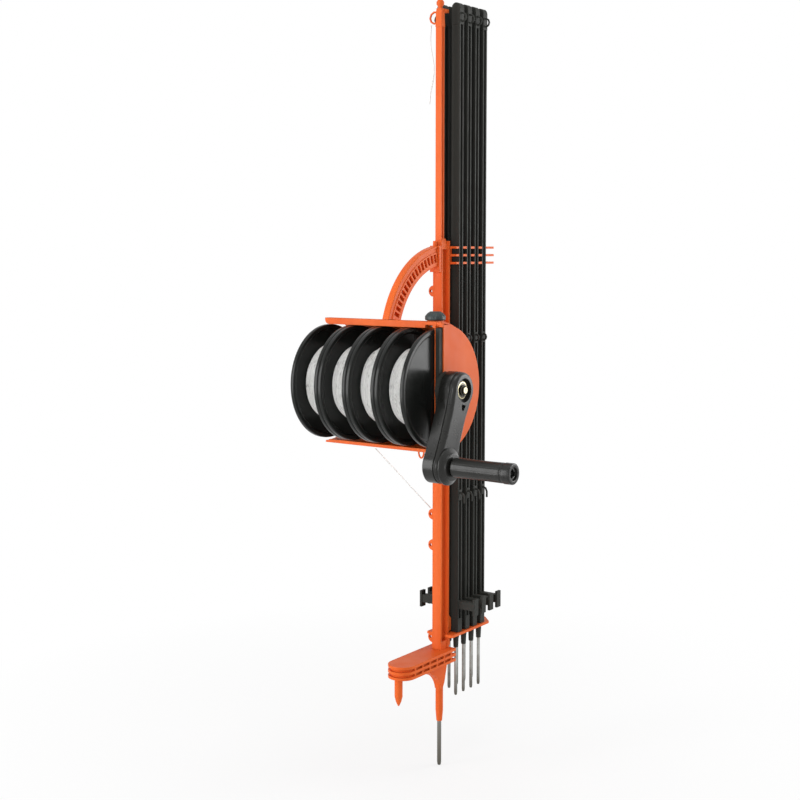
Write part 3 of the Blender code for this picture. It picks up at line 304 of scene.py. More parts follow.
def turned(name, outline, steps, centre, axis="X", lobes=None):
    """Turns a closed outline of (radius, along) points about an axis through a centre.
    A lobes function may change a radius by its angle and its place along the axis."""
    shape = bmesh.new()
    rings = []
    for step in range(steps):
        angle = math.tau * step / steps
        ring = []
        for radius, along in outline:
            if lobes:
                radius = lobes(radius, angle, along)
            a = radius * math.cos(angle)
            b = radius * math.sin(angle)
            offset = (along, a, b) if axis == "X" else (a, b, along)
            ring.append(shape.verts.new(Vector(centre) + Vector(offset)))
        rings.append(ring)
    count = len(outline)
    for step in range(steps):
        near = rings[step]
        far = rings[(step + 1) % steps]
        for index in range(count):
            after = (index + 1) % count
            shape.faces.new((near[index], near[after], far[after], far[index]))
    bmesh.ops.remove_doubles(shape, verts=shape.verts, dist=WELD / 10)
    return from_bmesh(name, shape)


def lofted(name, sections):
    """A closed body through outlines in YZ with equal point counts, each at its own X."""
    shape = bmesh.new()
    rings = [[shape.verts.new((x, y, z)) for y, z in outline] for x, outline in sections]
    count = len(rings[0])
    for near, far in zip(rings, rings[1:]):
        for index in range(count):
            after = (index + 1) % count
            shape.faces.new((near[index], near[after], far[after], far[index]))
    shape.faces.new(rings[0])
    shape.faces.new(rings[-1])
    return from_bmesh(name, shape)


def extruded(name, outline, low, high):
    """Extrudes an outline in YZ from one X to another."""
    return lofted(name, [(low, outline), (high, outline)])


def applied(piece):
    """Replaces a piece by one plain mesh that holds its modifiers."""
    graph = bpy.context.evaluated_depsgraph_get()
    mesh = bpy.data.meshes.new_from_object(piece.evaluated_get(graph))
    name = piece.name
    bpy.data.objects.remove(piece, do_unlink=True)
    mesh.name = name
    return linked(name, mesh)


def boolean(base, others, operation):
    for other in others:
        modifier = base.modifiers.new("form", "BOOLEAN")
        modifier.operation = operation
        modifier.solver = "EXACT"
        modifier.object = other
        base = applied(base)
        bpy.data.objects.remove(other, do_unlink=True)
    return base


def joined(base, *others):
    return boolean(base, others, "UNION")


def cut(base, *others):
    return boolean(base, others, "DIFFERENCE")


def gathered(pieces):
    """One object from pieces that stand clear of each other, for a single cut."""
    shape = bmesh.new()
    for piece in pieces:
        shape.from_mesh(piece.data)
        bpy.data.objects.remove(piece, do_unlink=True)
    return from_bmesh("gathered", shape)


def add_bevel(piece, width, segments, angle):
    """Rounds the edges of a piece that are sharper than an angle in degrees."""
    bevel = piece.modifiers.new("edges", "BEVEL")
    bevel.width = width
    bevel.segments = segments
    bevel.limit_method = "ANGLE"
    bevel.angle_limit = math.radians(angle)
    return bevel


def smooth(piece, angle=SHARP_ANGLE):
    """Shades a piece smooth, except over edges sharper than an angle in degrees."""
    piece.data.shade_smooth()
    piece.data.set_sharp_from_angle(angle=math.radians(angle))
    return piece


def stands_for(piece, node, finish):
    """Puts a finished piece in the place of a model node, on its body and with one finish."""
    original = frame["nodes"][node]
    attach(piece, original["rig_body"])
    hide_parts(node)
    piece.data.materials.clear()
    piece.data.materials.append(finish)
    return piece


def softened(node, finish):
    """A copy of a model node with joined faces and rounded edges."""
    shape = bmesh.new()
    shape.from_mesh(frame["nodes"][node].data)
    bmesh.ops.remove_doubles(shape, verts=shape.verts, dist=WELD)
    bmesh.ops.dissolve_limit(
        shape, angle_limit=math.radians(1), verts=shape.verts, edges=shape.edges
    )
    piece = from_bmesh(node + "_finished", shape)
    add_bevel(piece, SOFT_EDGE, 2, SHARP_ANGLE).harden_normals = True
    return stands_for(smooth(piece), node, finish)


# Materials.

def finish_nodes(name):
    material = bpy.data.materials.new(name)
    material.use_nodes = True
    tree = material.node_tree
    return material, tree, tree.nodes["Principled BSDF"]


def node(tree, kind, **values):
    """A new shader node with some of its settings."""
    made = tree.nodes.new(kind)
    for key, value in values.items():
        setattr(made, key, value)
    return made


def noise(tree, scale, detail=3.0, stretch=None):
    """Noise in the piece's own coordinates, which may be stretched along an axis."""
    place = node(tree, "ShaderNodeTexCoord")
    texture = node(tree, "ShaderNodeTexNoise")
    texture.inputs["Scale"].default_value = scale
    texture.inputs["Detail"].default_value = detail
    source = place.outputs["Object"]
    if stretch:
        mapping = node(tree, "ShaderNodeMapping")
        mapping.inputs["Scale"].default_value = stretch
        tree.links.new(source, mapping.inputs["Vector"])
        source = mapping.outputs["Vector"]
    tree.links.new(source, texture.inputs["Vector"])
    return texture.outputs["Fac"]


def spread(tree, source, low, high, start=0.35, end=0.65):
    """Maps the middle part of a 0 to 1 signal onto a range."""
    reach = node(tree, "ShaderNodeMapRange")
    reach.inputs["From Min"].default_value = start
    reach.inputs["From Max"].default_value = end
    reach.inputs["To Min"].default_value = low
    reach.inputs["To Max"].default_value = high
    tree.links.new(source, reach.inputs["Value"])
    return reach.outputs["Result"]


def blended(tree, share, first, second):
    """Mixes two colours, each a tuple or an output, by a share that varies over the piece."""
    mix = node(tree, "ShaderNodeMix", data_type="RGBA")
    tree.links.new(share, mix.inputs["Factor"])
    sockets = [socket for socket in mix.inputs if socket.type == "RGBA"]
    for socket, colour in zip(sockets, (first, second)):
        if isinstance(colour, tuple):
            socket.default_value = (*colour, 1)
        else:
            tree.links.new(colour, socket)
    return [socket for socket in mix.outputs if socket.type == "RGBA"][0]


def add_bump(tree, shader, height, strength, distance, normal=None):
    """Raises and lowers a surface, in its shading only, by a height signal."""
    bump = node(tree, "ShaderNodeBump")
    bump.inputs["Strength"].default_value = strength
    bump.inputs["Distance"].default_value = distance
    tree.links.new(height, bump.inputs["Height"])
    if normal:
        tree.links.new(normal, bump.inputs["Normal"])
    tree.links.new(bump.outputs["Normal"], shader.inputs["Normal"])


def edge_share(tree, radius):
    """Near 1 on outer edges, where handling wears the surface, and 0 on open faces."""
    round_edge = node(tree, "ShaderNodeBevel", samples=4)
    round_edge.inputs["Radius"].default_value = radius
    shape = node(tree, "ShaderNodeNewGeometry")
    product = node(tree, "ShaderNodeVectorMath", operation="DOT_PRODUCT")
    tree.links.new(round_edge.outputs["Normal"], product.inputs[0])
    tree.links.new(shape.outputs["Normal"], product.inputs[1])
    return spread(tree, product.outputs["Value"], 1.0, 0.0, 0.80, 0.985), round_edge


def moulded(name, colour, shade, worn, roughness, specular, grain=0.00006):
    """Moulded plastic: fine grain, faint flow marks and edges in a worn colour."""
    material, tree, shader = finish_nodes(name)
    links = tree.links
    flow = spread(tree, noise(tree, scale=14, detail=4, stretch=(1, 1, 0.25)), low=0.0, high=1.0)
    body = blended(tree, flow, colour, shade)
    wear, round_edge = edge_share(tree, radius=0.0009)
    scuffs = spread(tree, noise(tree, scale=160, detail=5), low=0.15, high=0.9)
    product = node(tree, "ShaderNodeMath", operation="MULTIPLY")
    links.new(wear, product.inputs[0])
    links.new(scuffs, product.inputs[1])
    links.new(blended(tree, product.outputs["Value"], body, worn), shader.inputs["Base Color"])
    patches = noise(tree, scale=55, detail=4)
    links.new(spread(tree, patches, roughness * 0.9, roughness * 1.1), shader.inputs["Roughness"])
    fine = noise(tree, scale=1400, detail=2)
    normal = round_edge.outputs["Normal"]
    add_bump(tree, shader, fine, strength=0.5, distance=grain, normal=normal)
    shader.inputs["Specular IOR Level"].default_value = specular
    return material


def metal(name, colour, tarnish, roughness, streak, soil=None):
    """Plated or drawn metal with fine lines along one direction and dull patches.
    Soil gives two heights: the metal is stained at the first and clean at the second."""
    material, tree, shader = finish_nodes(name)
    links = tree.links
    patches = spread(tree, noise(tree, scale=70, detail=5), low=0.0, high=1.0)
    body = blended(tree, patches, colour, tarnish)
    if soil:
        place = node(tree, "ShaderNodeTexCoord")
        parts = node(tree, "ShaderNodeSeparateXYZ")
        links.new(place.outputs["Object"], parts.inputs["Vector"])
        stain = spread(tree, parts.outputs["Z"], 0.85, 0.0, *soil)
        body = blended(tree, stain, body, SOIL_STAIN)
    links.new(body, shader.inputs["Base Color"])
    lines = noise(tree, scale=900, detail=2, stretch=streak)
    links.new(spread(tree, lines, roughness - 0.07, roughness + 0.1), shader.inputs["Roughness"])
    add_bump(tree, shader, lines, strength=0.25, distance=0.00004)
    shader.inputs["Metallic"].default_value = 1.0
    return material


def plating_with_painted_light(name, centre, painted_shade_radius, painted_highlight_radius):
    """Plating with painted light: painted shade at one distance from the axle and a painted
    highlight, a little golden, at another.
    """
    material, tree, shader = finish_nodes(name)
    links = tree.links
    place = node(tree, "ShaderNodeTexCoord")
    flat = node(tree, "ShaderNodeVectorMath", operation="MULTIPLY")
    links.new(place.outputs["Object"], flat.inputs[0])
    flat.inputs[1].default_value = (0, 1, 1)
    distance = node(tree, "ShaderNodeVectorMath", operation="DISTANCE")
    links.new(flat.outputs["Vector"], distance.inputs[0])
    distance.inputs[1].default_value = (0, *centre)
    share = spread(tree, distance.outputs["Value"], 0.0, 1.0, painted_shade_radius, painted_highlight_radius)
    links.new(blended(tree, share, PLATING_PAINTED_SHADE, PLATING_PAINTED_HIGHLIGHT), shader.inputs["Base Color"])
    patches = noise(tree, scale=300, detail=4)
    links.new(spread(tree, patches, low=0.16, high=0.30), shader.inputs["Roughness"])
    shader.inputs["Metallic"].default_value = 1.0
    return material


def polywire(name, stretch):
    """White plastic strands with painted shade in the gaps between them, and some dust."""
    material, tree, shader = finish_nodes(name)
    links = tree.links
    strands = spread(tree, noise(tree, 1000, 2, stretch), 0.0, 1.0, start=0.42, end=0.60)
    dust = spread(tree, noise(tree, scale=35, detail=4), low=0.0, high=1.0)
    # Painted shade in the gaps between strands.
    gaps = spread(tree, noise(tree, 520, 4, stretch), 1.0, 0.0, start=0.36, end=0.44)
    lit = blended(tree, strands, STRAND_SHADE, STRAND_LIGHT)
    clean = blended(tree, gaps, lit, STRAND_GAP_PAINTED_SHADE)
    links.new(blended(tree, dust, clean, STRAND_DUST), shader.inputs["Base Color"])
    links.new(spread(tree, strands, 0.45, 0.75, start=0, end=1), shader.inputs["Roughness"])
    add_bump(tree, shader, strands, strength=0.7, distance=0.0002)
    return material


# Colours shared by several finishes, and the direction of the lines in drawn steel.
SOIL_STAIN = (0.085, 0.080, 0.062)
STEEL_COLOUR = (0.42, 0.42, 0.40)
STEEL_DULL = (0.30, 0.29, 0.27)
STEEL_LINES = (1, 1, 0.02)
# Painted shade and a painted highlight, a little golden, laid on the washer's and the bolt's
# plating.
PLATING_PAINTED_SHADE = (0.060, 0.056, 0.045)
PLATING_PAINTED_HIGHLIGHT = (0.50, 0.45, 0.29)
STRAND_SHADE = (0.80, 0.80, 0.78)
STRAND_LIGHT = (0.95, 0.95, 0.93)
# Painted shade for the gaps between strands.
STRAND_GAP_PAINTED_SHADE = (0.26, 0.26, 0.25)
STRAND_DUST = (0.90, 0.90, 0.88)

ORANGE = moulded(
    "orange_plastic", colour=(0.74, 0.132, 0.024), shade=(0.69, 0.108, 0.017),
    worn=(0.82, 0.22, 0.07), roughness=0.44, specular=0.14,
)
BLACK = moulded(
    "black_plastic", colour=(0.029, 0.030, 0.027), shade=(0.034, 0.035, 0.031),
    worn=(0.030, 0.030, 0.027), roughness=0.56, specular=0.12,
)
REEL_BLACK = moulded(
    "reel_plastic", colour=(0.010, 0.011, 0.010), shade=(0.014, 0.015, 0.014),
    worn=(0.030, 0.032, 0.029), roughness=0.24, specular=0.19, grain=0.00001,
)
CRANK_BLACK = moulded(
    "crank_plastic", colour=(0.013, 0.013, 0.012), shade=(0.017, 0.017, 0.015),
    worn=(0.026, 0.026, 0.023), roughness=0.29, specular=0.30, grain=0.00003,
)
KNOB = moulded(
    "knob_plastic", colour=(0.022, 0.034, 0.034), shade=(0.028, 0.040, 0.040),
    worn=(0.06, 0.075, 0.075), roughness=0.40, specular=0.3,
)
STEEL = metal("drawn_steel", STEEL_COLOUR, STEEL_DULL, roughness=0.36, streak=STEEL_LINES)
CHROME = metal(
    "bright_plating", colour=(0.78, 0.76, 0.68), tarnish=(0.70, 0.66, 0.54),
    roughness=0.16, streak=(0.05, 1, 1),
)
WOUND_WIRE = polywire("wound_polywire", stretch=(3.0, 0.25, 0.25))
FREE_WIRE = polywire("free_polywire", stretch=(1.5, 1.5, 0.4))

# The finish of each slot, for nodes that are copied, and the slot of each node.
FINISH = {
    "orange_moulding": ORANGE,
    "black_moulding": BLACK,
    "dark_knob": KNOB,
    "steel": STEEL,
    "bright_plate": CHROME,
    "polywire": FREE_WIRE,
}
SLOT = {name: part.data.materials[0].name for name, part in frame["nodes"].items()}


# Camera, lamps, background and floor.

def make_camera():
    camera = bpy.data.objects.new("camera", bpy.data.cameras.new("camera"))
    bpy.context.scene.collection.objects.link(camera)
    level = math.cos(CAMERA_PITCH)
    ahead = Vector((
        -math.sin(CAMERA_AZIMUTH) * level,
        math.cos(CAMERA_AZIMUTH) * level,
        -math.sin(CAMERA_PITCH),
    ))
    camera.location = CAMERA_PLACE
    camera.rotation_euler = ahead.to_track_quat("-Z", "Y").to_euler()
    camera.data.lens = CAMERA_LENS
    camera.data.sensor_width = CAMERA_SENSOR
    camera.data.shift_y = CAMERA_SHIFT
    bpy.context.scene.camera = camera


def make_lamp(name, place, target, width, height, watts):
    data = bpy.data.lights.new(name, "AREA")
    data.shape = "RECTANGLE"
    data.size = width
    data.size_y = height
    data.energy = watts
    lamp = bpy.data.objects.new(name, data)
    bpy.context.scene.collection.objects.link(lamp)
    lamp.location = place
    lamp.rotation_euler = (Vector(target) - Vector(place)).to_track_quat("-Z", "Y").to_euler()


def seen_share(tree):
    """1 for camera, glossy and transmission rays, which see the white background."""
    path = node(tree, "ShaderNodeLightPath")
    total = path.outputs["Is Camera Ray"]
    for output in ("Is Glossy Ray", "Is Transmission Ray"):
        largest = node(tree, "ShaderNodeMath", operation="MAXIMUM")
        tree.links.new(total, largest.inputs[0])
        tree.links.new(path.outputs[output], largest.inputs[1])
        total = largest.outputs["Value"]
    return total


def make_world(level):
    world = bpy.data.worlds.new("studio")
    bpy.context.scene.world = world
    world.use_nodes = True
    tree = world.node_tree
    tree.nodes.clear()
    light = node(tree, "ShaderNodeBackground")
    light.inputs["Color"].default_value = (1, 1, 1, 1)
    light.inputs["Strength"].default_value = level
    white = node(tree, "ShaderNodeBackground")
    white.inputs["Color"].default_value = (1, 1, 1, 1)
    white.inputs["Strength"].default_value = 1.0
    mix = node(tree, "ShaderNodeMixShader")
    output = node(tree, "ShaderNodeOutputWorld")
    tree.links.new(seen_share(tree), mix.inputs["Fac"])
    tree.links.new(light.outputs["Background"], mix.inputs[1])
    tree.links.new(white.outputs["Background"], mix.inputs[2])
    tree.links.new(mix.outputs["Shader"], output.inputs["Surface"])


def make_floor(height):
    """A pale floor that shows the object's shadow near it and fades to the white background."""
    shape = bmesh.new()
    bmesh.ops.create_grid(shape, x_segments=1, y_segments=1, size=FLOOR_SIZE)
    bmesh.ops.translate(shape, verts=shape.verts, vec=(0, 0, height))
    floor = from_bmesh("studio_floor", shape)
    material, tree, shader = finish_nodes("studio_floor")
    shader.inputs["Base Color"].default_value = (0.88, 0.88, 0.88, 1)
    shader.inputs["Roughness"].default_value = 0.9
    shader.inputs["Specular IOR Level"].default_value = 0.0
    place = node(tree, "ShaderNodeTexCoord")
    distance = node(tree, "ShaderNodeVectorMath", operation="LENGTH")
    tree.links.new(place.outputs["Object"], distance.inputs[0])
    fade = spread(tree, distance.outputs["Value"], 1 - SHADOW_SHARE, 1.0, FADE_START, FADE_END)
    share = node(tree, "ShaderNodeMath", operation="MULTIPLY")
    tree.links.new(seen_share(tree), share.inputs[0])
    tree.links.new(fade, share.inputs[1])
    white = node(tree, "ShaderNodeEmission")
    mix = node(tree, "ShaderNodeMixShader")
    tree.links.new(share.outputs["Value"], mix.inputs["Fac"])
    tree.links.new(shader.outputs["BSDF"], mix.inputs[1])
    tree.links.new(white.outputs["Emission"], mix.inputs[2])
    tree.links.new(mix.outputs["Shader"], tree.nodes["Material Output"].inputs["Surface"])
    floor.data.materials.append(material)


# Fence wire.

def smooth_route(route, spacing):
    """Points about one spacing apart on a smooth curve through a route's points."""
    places = [Vector(place) for place in route]
    places = [2 * places[0] - places[1]] + places + [2 * places[-1] - places[-2]]
    points = [places[1]]
    for before, start, end, after in zip(places, places[1:], places[2:], places[3:]):
        steps = max(1, round((end - start).length / spacing))
        for step in range(1, steps + 1):
            t = step / steps
            drift = (end - before) * t + (2 * before - 5 * start + 4 * end - after) * t ** 2
            point = start + (drift + (3 * start - before - 3 * end + after) * t ** 3) / 2
            points.append(point)
    return points


def make_wire(name, points, cad_node):
    """A free stretch of fence wire through a list of points."""
    curve = bpy.data.curves.new(name, "CURVE")
    curve.dimensions = "3D"
    curve.bevel_depth = WIRE_RADIUS
    curve.bevel_resolution = 4
    curve.use_fill_caps = True
    spline = curve.splines.new("POLY")
    spline.points.add(len(points) - 1)
    for point, place in zip(spline.points, points):
        point.co = (*place, 1)
    piece = applied(linked(name, curve))
    seams = bmesh.new()
    seams.from_mesh(piece.data)
    bmesh.ops.remove_doubles(seams, verts=seams.verts, dist=WELD)
    seams.to_mesh(piece.data)
    seams.free()
    stands_for(smooth(piece, 60), cad_node, FREE_WIRE)


def make_wires():
    strand_steps = 12
    start = Vector(STRAND_START)
    end = Vector(STRAND_END)
    strand = [start.lerp(end, step / strand_steps) for step in range(strand_steps + 1)]
    make_wire("fence_wire_to_guide", strand, "fence_wire_strand")
    tail = smooth_route(TAIL_ROUTE, TAIL_SPACING)
    make_wire("fence_wire_loose_end", tail, "fence_wire_tail")


# Reels.

def flange_corners(radius):
    """One flange's section from the bore outwards and back to the core, as rounded corners."""
    shoulder = radius - RIM_DEPTH
    return [
        (BORE, 0, 0),
        (BOSS_RADIUS, 0, 0.0008),
        (SUNK_RADIUS, SUNK_DEPTH, 0.0005),
        (shoulder - 0.0020, SUNK_DEPTH, 0.0006),
        (shoulder, 0, 0.0010),
        (radius, 0, RIM_ROUNDING),
        (radius, RIM_WIDTH, RIM_ROUNDING),
        (shoulder, RIM_WIDTH, 0.0008),
        (shoulder - 0.0030, WEB, 0.0015),
        (CORE_RADIUS, WEB, 0.0010),
    ]


def make_bobbin(number):
    """A reel's two flanges and core. Gives back the Y and Z of its axle."""
    bobbin_node = f"reel_bobbin_{number}"
    low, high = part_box(bobbin_node)
    width = high.x - low.x
    radius = (high.z - low.z) / 2
    centre = (low.x, (low.y + high.y) / 2, (low.z + high.z) / 2)
    corners = flange_corners(radius)
    mirrored = [(across, width - along, bend) for across, along, bend in corners[::-1]]
    bobbin = turned(bobbin_node + "_finished", rounded(corners + mirrored), REEL_STEPS, centre)
    stands_for(smooth(bobbin, angle=50), bobbin_node, REEL_BLACK)
    return centre[1:]


def make_winding(number, axle):
    """The turns of wire on a reel, each a little deeper or higher than the next."""
    winding_node = f"wire_winding_{number}"
    low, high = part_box(winding_node)
    outer = (high.z - low.z) / 2
    width = high.x - low.x
    turns = int(width / TURN_PITCH)
    points = turns * POINTS_PER_TURN
    outline = [(outer, width * index / points) for index in range(points + 1)]
    outline += [(CORE_RADIUS + GAP, width), (CORE_RADIUS + GAP, 0)]

    def wound(base, angle, along):
        if base < outer:
            return base
        turn = along / width * turns + angle / math.tau
        ridge = abs(math.sin(math.pi * turn))
        edge = min(along, width - along) / SIDE_WIDTH
        sink = SIDE_SINK * max(0.0, 1 - edge) ** 2
        drift = DRIFT_PER_TURN * math.floor(turn) + DRIFT_PER_REEL * number
        drift += 0.9 * math.sin(2 * angle)
        drift += 0.5 * math.sin(5 * angle)
        layer = LAYER_DEPTH * (1 + math.sin(drift))
        return base - TURN_HEIGHT * (1 - ridge) - sink - layer

    name = winding_node + "_finished"
    winding = turned(name, outline, WINDING_STEPS, (low.x, *axle), lobes=wound)
    stands_for(smooth(winding, angle=60), winding_node, WOUND_WIRE)


# Crank.

def arm_plan(inset):
    """The arm's outline, hanging straight down from the axle, drawn in by an inset."""
    hub = arc((0, 0), HUB_RADIUS - HUB_SHARE * inset, -20, 200, 36)
    tail = arc((0, -CRANK_LENGTH), ARM_END_RADIUS - inset, 165, 375, 36)
    side = ARM_WAIST - inset
    left = [(-side, height) for height in ARM_SIDE_HEIGHTS]
    right = [(side, height) for height in reversed(ARM_SIDE_HEIGHTS)]
    return hub + left + tail + right


def rod(radius, start, end, centre, steps=48):
    """A plain cylinder along X, for cuts."""
    outline = [(0, start), (radius, start), (radius, end), (0, end)]
    return turned("rod", outline, steps, (0, centre[0], centre[1]))


def make_arm(axle, start, end):
    """The arm in two shells: a seam runs round it below the quarter-round front edge."""
    seam_end = end - ARM_EDGE
    seam = seam_end - SEAM_WIDTH
    sections = [
        (start, arm_plan(ARM_BACK_EDGE)),
        (start + ARM_BACK_EDGE, arm_plan(0.0)),
        (seam - SEAM_EDGE, arm_plan(0.0)),
        (seam, arm_plan(SEAM_EDGE)),
        (seam, arm_plan(SEAM_DEPTH)),
        (seam_end, arm_plan(SEAM_DEPTH)),
    ]
    for step in range(ARM_EDGE_STEPS + 1):
        angle = math.pi / 2 * step / ARM_EDGE_STEPS
        inset = ARM_EDGE * (1 - math.cos(angle)) + SEAM_LIP * math.cos(angle)
        sections.append((seam_end + ARM_EDGE * math.sin(angle), arm_plan(inset)))
    arm = lofted("crank_arm_finished", sections)
    notch = extruded("notch", rounded(NOTCH_CORNERS), end - NOTCH_DEPTH, end + OVERCUT)
    pocket_plan = arc((0, POCKET_TOP), POCKET_RADIUS, 0, 180, 16)
    pocket_plan += arc((0, -CRANK_LENGTH + POCKET_ABOVE_GRIP), POCKET_RADIUS, 180, 360, 16)
    pocket = extruded("pocket", pocket_plan, start - OVERCUT, start + POCKET_DEPTH)
    recess = rod(RECESS_RADIUS, end - BOLT_RECESS, end + OVERCUT, (0, 0))
    bore = rod(BORE, start - OVERCUT, end + OVERCUT, (0, 0))
    spindle_place = (0, -CRANK_LENGTH)
    spindle_bore = rod(
        SPINDLE_RADIUS + GAP, start + SPINDLE_FLOOR, end + OVERCUT, spindle_place
    )
    arm = cut(arm, notch, pocket, recess, bore, spindle_bore)
    tilt = Matrix.Translation((0, axle[0], axle[1])) @ Matrix.Rotation(-CRANK_TILT, 4, "X")
    arm.data.transform(tilt)
    stands_for(smooth(arm, angle=40), "crank_arm", CRANK_BLACK)


def make_crank():
    low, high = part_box("reel_bobbin_1")
    axle = ((low.y + high.y) / 2, (low.z + high.z) / 2)
    arm_low, arm_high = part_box("crank_arm")
    make_arm(axle, arm_low.x, arm_high.x)
    middle = Vector((0, *axle))

    low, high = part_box("crank_washer")
    thickness = high.x - low.x
    corners = [
        (WASHER_BORE, 0, 0), (WASHER_RADIUS, 0, 0.0004),
        (WASHER_RADIUS, thickness, 0.0006), (WASHER_BORE, thickness, 0),
    ]
    place = middle + Vector((low.x, 0, 0))
    washer = turned("crank_washer_finished", rounded(corners), 64, place)
    # The washer's plating: painted shade over its inner part, a painted highlight round its rim.
    plating = plating_with_painted_light("washer_plating_painted_light", axle, painted_shade_radius=0.0112, painted_highlight_radius=0.0122)
    stands_for(smooth(washer), "crank_washer", plating)

    # A hexagon head on a round flange, with a small dimple in its domed top.
    low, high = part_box("crank_bolt")
    top = high.x - low.x

    def hexagon(radius, angle, along):
        if radius < HEXAGON_START or along < HEXAGON_START:
            return radius
        turn = (angle + math.pi / 6) % (math.pi / 3) - math.pi / 6
        return min(radius, HEXAGON_HALF / math.cos(turn))

    corners = [
        (0, 0.0, 0), (BOLT_SHANK, 0.0, 0), (BOLT_SHANK, 0.0022, 0),
        (BOLT_FLANGE, 0.0022, 0.0003), (BOLT_FLANGE, 0.0036, 0.0006),
        (BOLT_HEAD, 0.0044, 0), (BOLT_HEAD, top - 0.0010, 0),
        (0.0058, top - 0.0001, 0.0006), (0.0020, top, 0.0004),
        (0.0012, top - 0.0008, 0), (0, top - 0.0008, 0),
    ]
    place = middle + Vector((low.x, 0, 0))
    bolt = turned("crank_bolt_finished", rounded(corners, 3), 72, place, lobes=hexagon)
    # The bolt's plating: a painted highlight in the middle, painted shade round it.
    plating = plating_with_painted_light("bolt_plating_painted_light", axle, painted_shade_radius=0.0052, painted_highlight_radius=0.0040)
    stands_for(smooth(bolt, angle=30), "crank_bolt", plating)


def densified(outline, least, spacing=0.003):
    """Adds points to an outline's long stretches that lie further out than a least radius."""
    dense = []
    for index, point in enumerate(outline):
        dense.append(point)
        after = outline[(index + 1) % len(outline)]
        gap = math.dist(point, after)
        if point[0] > least and after[0] > least and gap > 0.01:
            pieces = int(gap / spacing)
            for step in range(1, pieces):
                share = step / pieces
                dense.append(tuple(a + (b - a) * share for a, b in zip(point, after)))
    return dense


def make_grip():
    low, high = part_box("grip_sleeve")
    centre = Vector((low.x, (low.y + high.y) / 2, (low.z + high.z) / 2))
    length = high.x - low.x
    outer = (high.z - low.z) / 2
    body = outer - GRIP_BODY_INSET
    neck = outer - GRIP_NECK_INSET
    bore = SPINDLE_RADIUS + GAP
    cup_floor = length - GRIP_CUP_DEPTH
    corners = [
        (GRIP_CUP_RADIUS, length, 0.0008), (outer, length, 0.0016),
        (outer, length - GRIP_HEAD_LENGTH, 0.0008),
        (neck, length - 0.0148, 0.0004), (neck, length - 0.0168, 0.0004),
        (body, length - 0.0180, 0.0008), (body - 0.0004, length * 0.5, 0),
        (body, 0.0040, 0.0010), (body - 0.0030, 0, 0.0010), (bore, 0, 0),
        (bore, cup_floor, 0), (GRIP_CUP_RADIUS, cup_floor, 0),
    ]

    def fluted(radius, angle, along):
        if radius > neck + 0.0001 and FLUTES_FROM_ARM < along < length - FLUTES_FROM_END:
            return radius - FLUTE_DEPTH * (1 + math.cos(GRIP_FLUTES * angle)) / 2
        return radius

    outline = densified(rounded(corners), neck)
    sleeve = turned("grip_sleeve_finished", outline, 96, centre, lobes=fluted)
    stands_for(smooth(sleeve), "grip_sleeve", CRANK_BLACK)

    # The plug's face holds a three-lobed pocket.
    low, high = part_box("grip_end_plug")
    depth = high.x - low.x
    radius = (high.z - low.z) / 2

    def three_lobed(base, angle, along):
        if base < 0.0030 or base > radius - 0.0012:
            return base
        return base * (0.80 + 0.20 * math.cos(3 * angle + 0.5))

    corners = [
        (0, 0, 0), (radius, 0, 0), (radius, depth, 0.0007), (radius - 0.0016, depth, 0.0003),
        (radius - 0.0024, depth - 0.0050, 0.0003), (0.0020, depth - 0.0050, 0),
        (0, depth - 0.0044, 0),
    ]
    place = (low.x, centre.y, centre.z)
    plug = turned("grip_end_plug_finished", rounded(corners, 3), 72, place, lobes=three_lobed)
    stands_for(smooth(plug), "grip_end_plug", CRANK_BLACK)

    low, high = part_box("grip_collar")
    length = high.x - low.x
    radius = (high.z - low.z) / 2
    corners = [
        (bore, 0, 0), (radius, 0, 0.0008), (radius, 0.0026, 0.0014),
        (radius - 0.0066, length * 0.72, 0.0040), (radius - 0.0080, length, 0.0010),
        (bore, length, 0),
    ]
    place = (low.x, centre.y, centre.z)
    collar = turned("grip_collar_finished", rounded(corners), 96, place)
    stands_for(smooth(collar), "grip_collar", CRANK_BLACK)


# Knob.

def make_knob():
    low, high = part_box("brake_knob")
    height = high.z - low.z
    radius = (high.x - low.x) / 2
    stem = 0.0033

    def scalloped(base, angle, along):
        if base < 0.012 or along < 0.0020:
            return base
        return base - SCALLOP_DEPTH * (0.5 + 0.5 * math.cos(KNOB_SCALLOPS * angle)) ** 3

    corners = [
        (0, height, 0), (0.0085, height, 0.0016), (0.0128, height - 0.0030, 0.0024),
        (radius, height - 0.0072, 0.0020), (radius, 0.0018, 0.0004), (radius - 0.0008, 0, 0.0004),
        (stem, 0, 0), (stem, height - 0.0050, 0), (0, height - 0.0050, 0),
    ]
    place = ((low.x + high.x) / 2, (low.y + high.y) / 2, low.z)
    knob = turned("brake_knob_finished", rounded(corners, 5), 144, place, "Z", scalloped)
    stands_for(smooth(knob), "brake_knob", KNOB)


# Ground spikes.

def make_spike(name, finish):
    """A round rod with a short blunt tip."""
    low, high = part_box(name)
    radius = (high.x - low.x) / 2
    height = high.z - low.z
    corners = [
        (0, 0, 0), (radius * TIP_FLAT, 0, radius * TIP_ROUNDING),
        (radius, radius * TIP_HEIGHT, radius), (radius, height, 0), (0, height, 0),
    ]
    place = ((low.x + high.x) / 2, (low.y + high.y) / 2, low.z)
    spike = turned(name + "_finished", rounded(corners), 48, place, "Z")
    stands_for(smooth(spike), name, finish)


def stained_steel(name, colour, spike, height):
    """Steel that soil has stained, from a spike's tip up to a height above it."""
    low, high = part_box(spike)
    return metal(name, colour, STEEL_DULL, 0.34, STEEL_LINES, soil=(low.z, low.z + height))


def make_spikes():
    steel = stained_steel("lead_spike_steel", STEEL_DULL, "lead_post_spike", LEAD_STAIN_HEIGHT)
    make_spike("lead_post_spike", steel)
    first = "line_post_spike_1"
    steel = stained_steel("line_spike_steel", STEEL_COLOUR, first, LINE_STAIN_HEIGHT)
    for number in range(1, 10):
        make_spike(f"line_post_spike_{number}", steel)


# Carry handle.

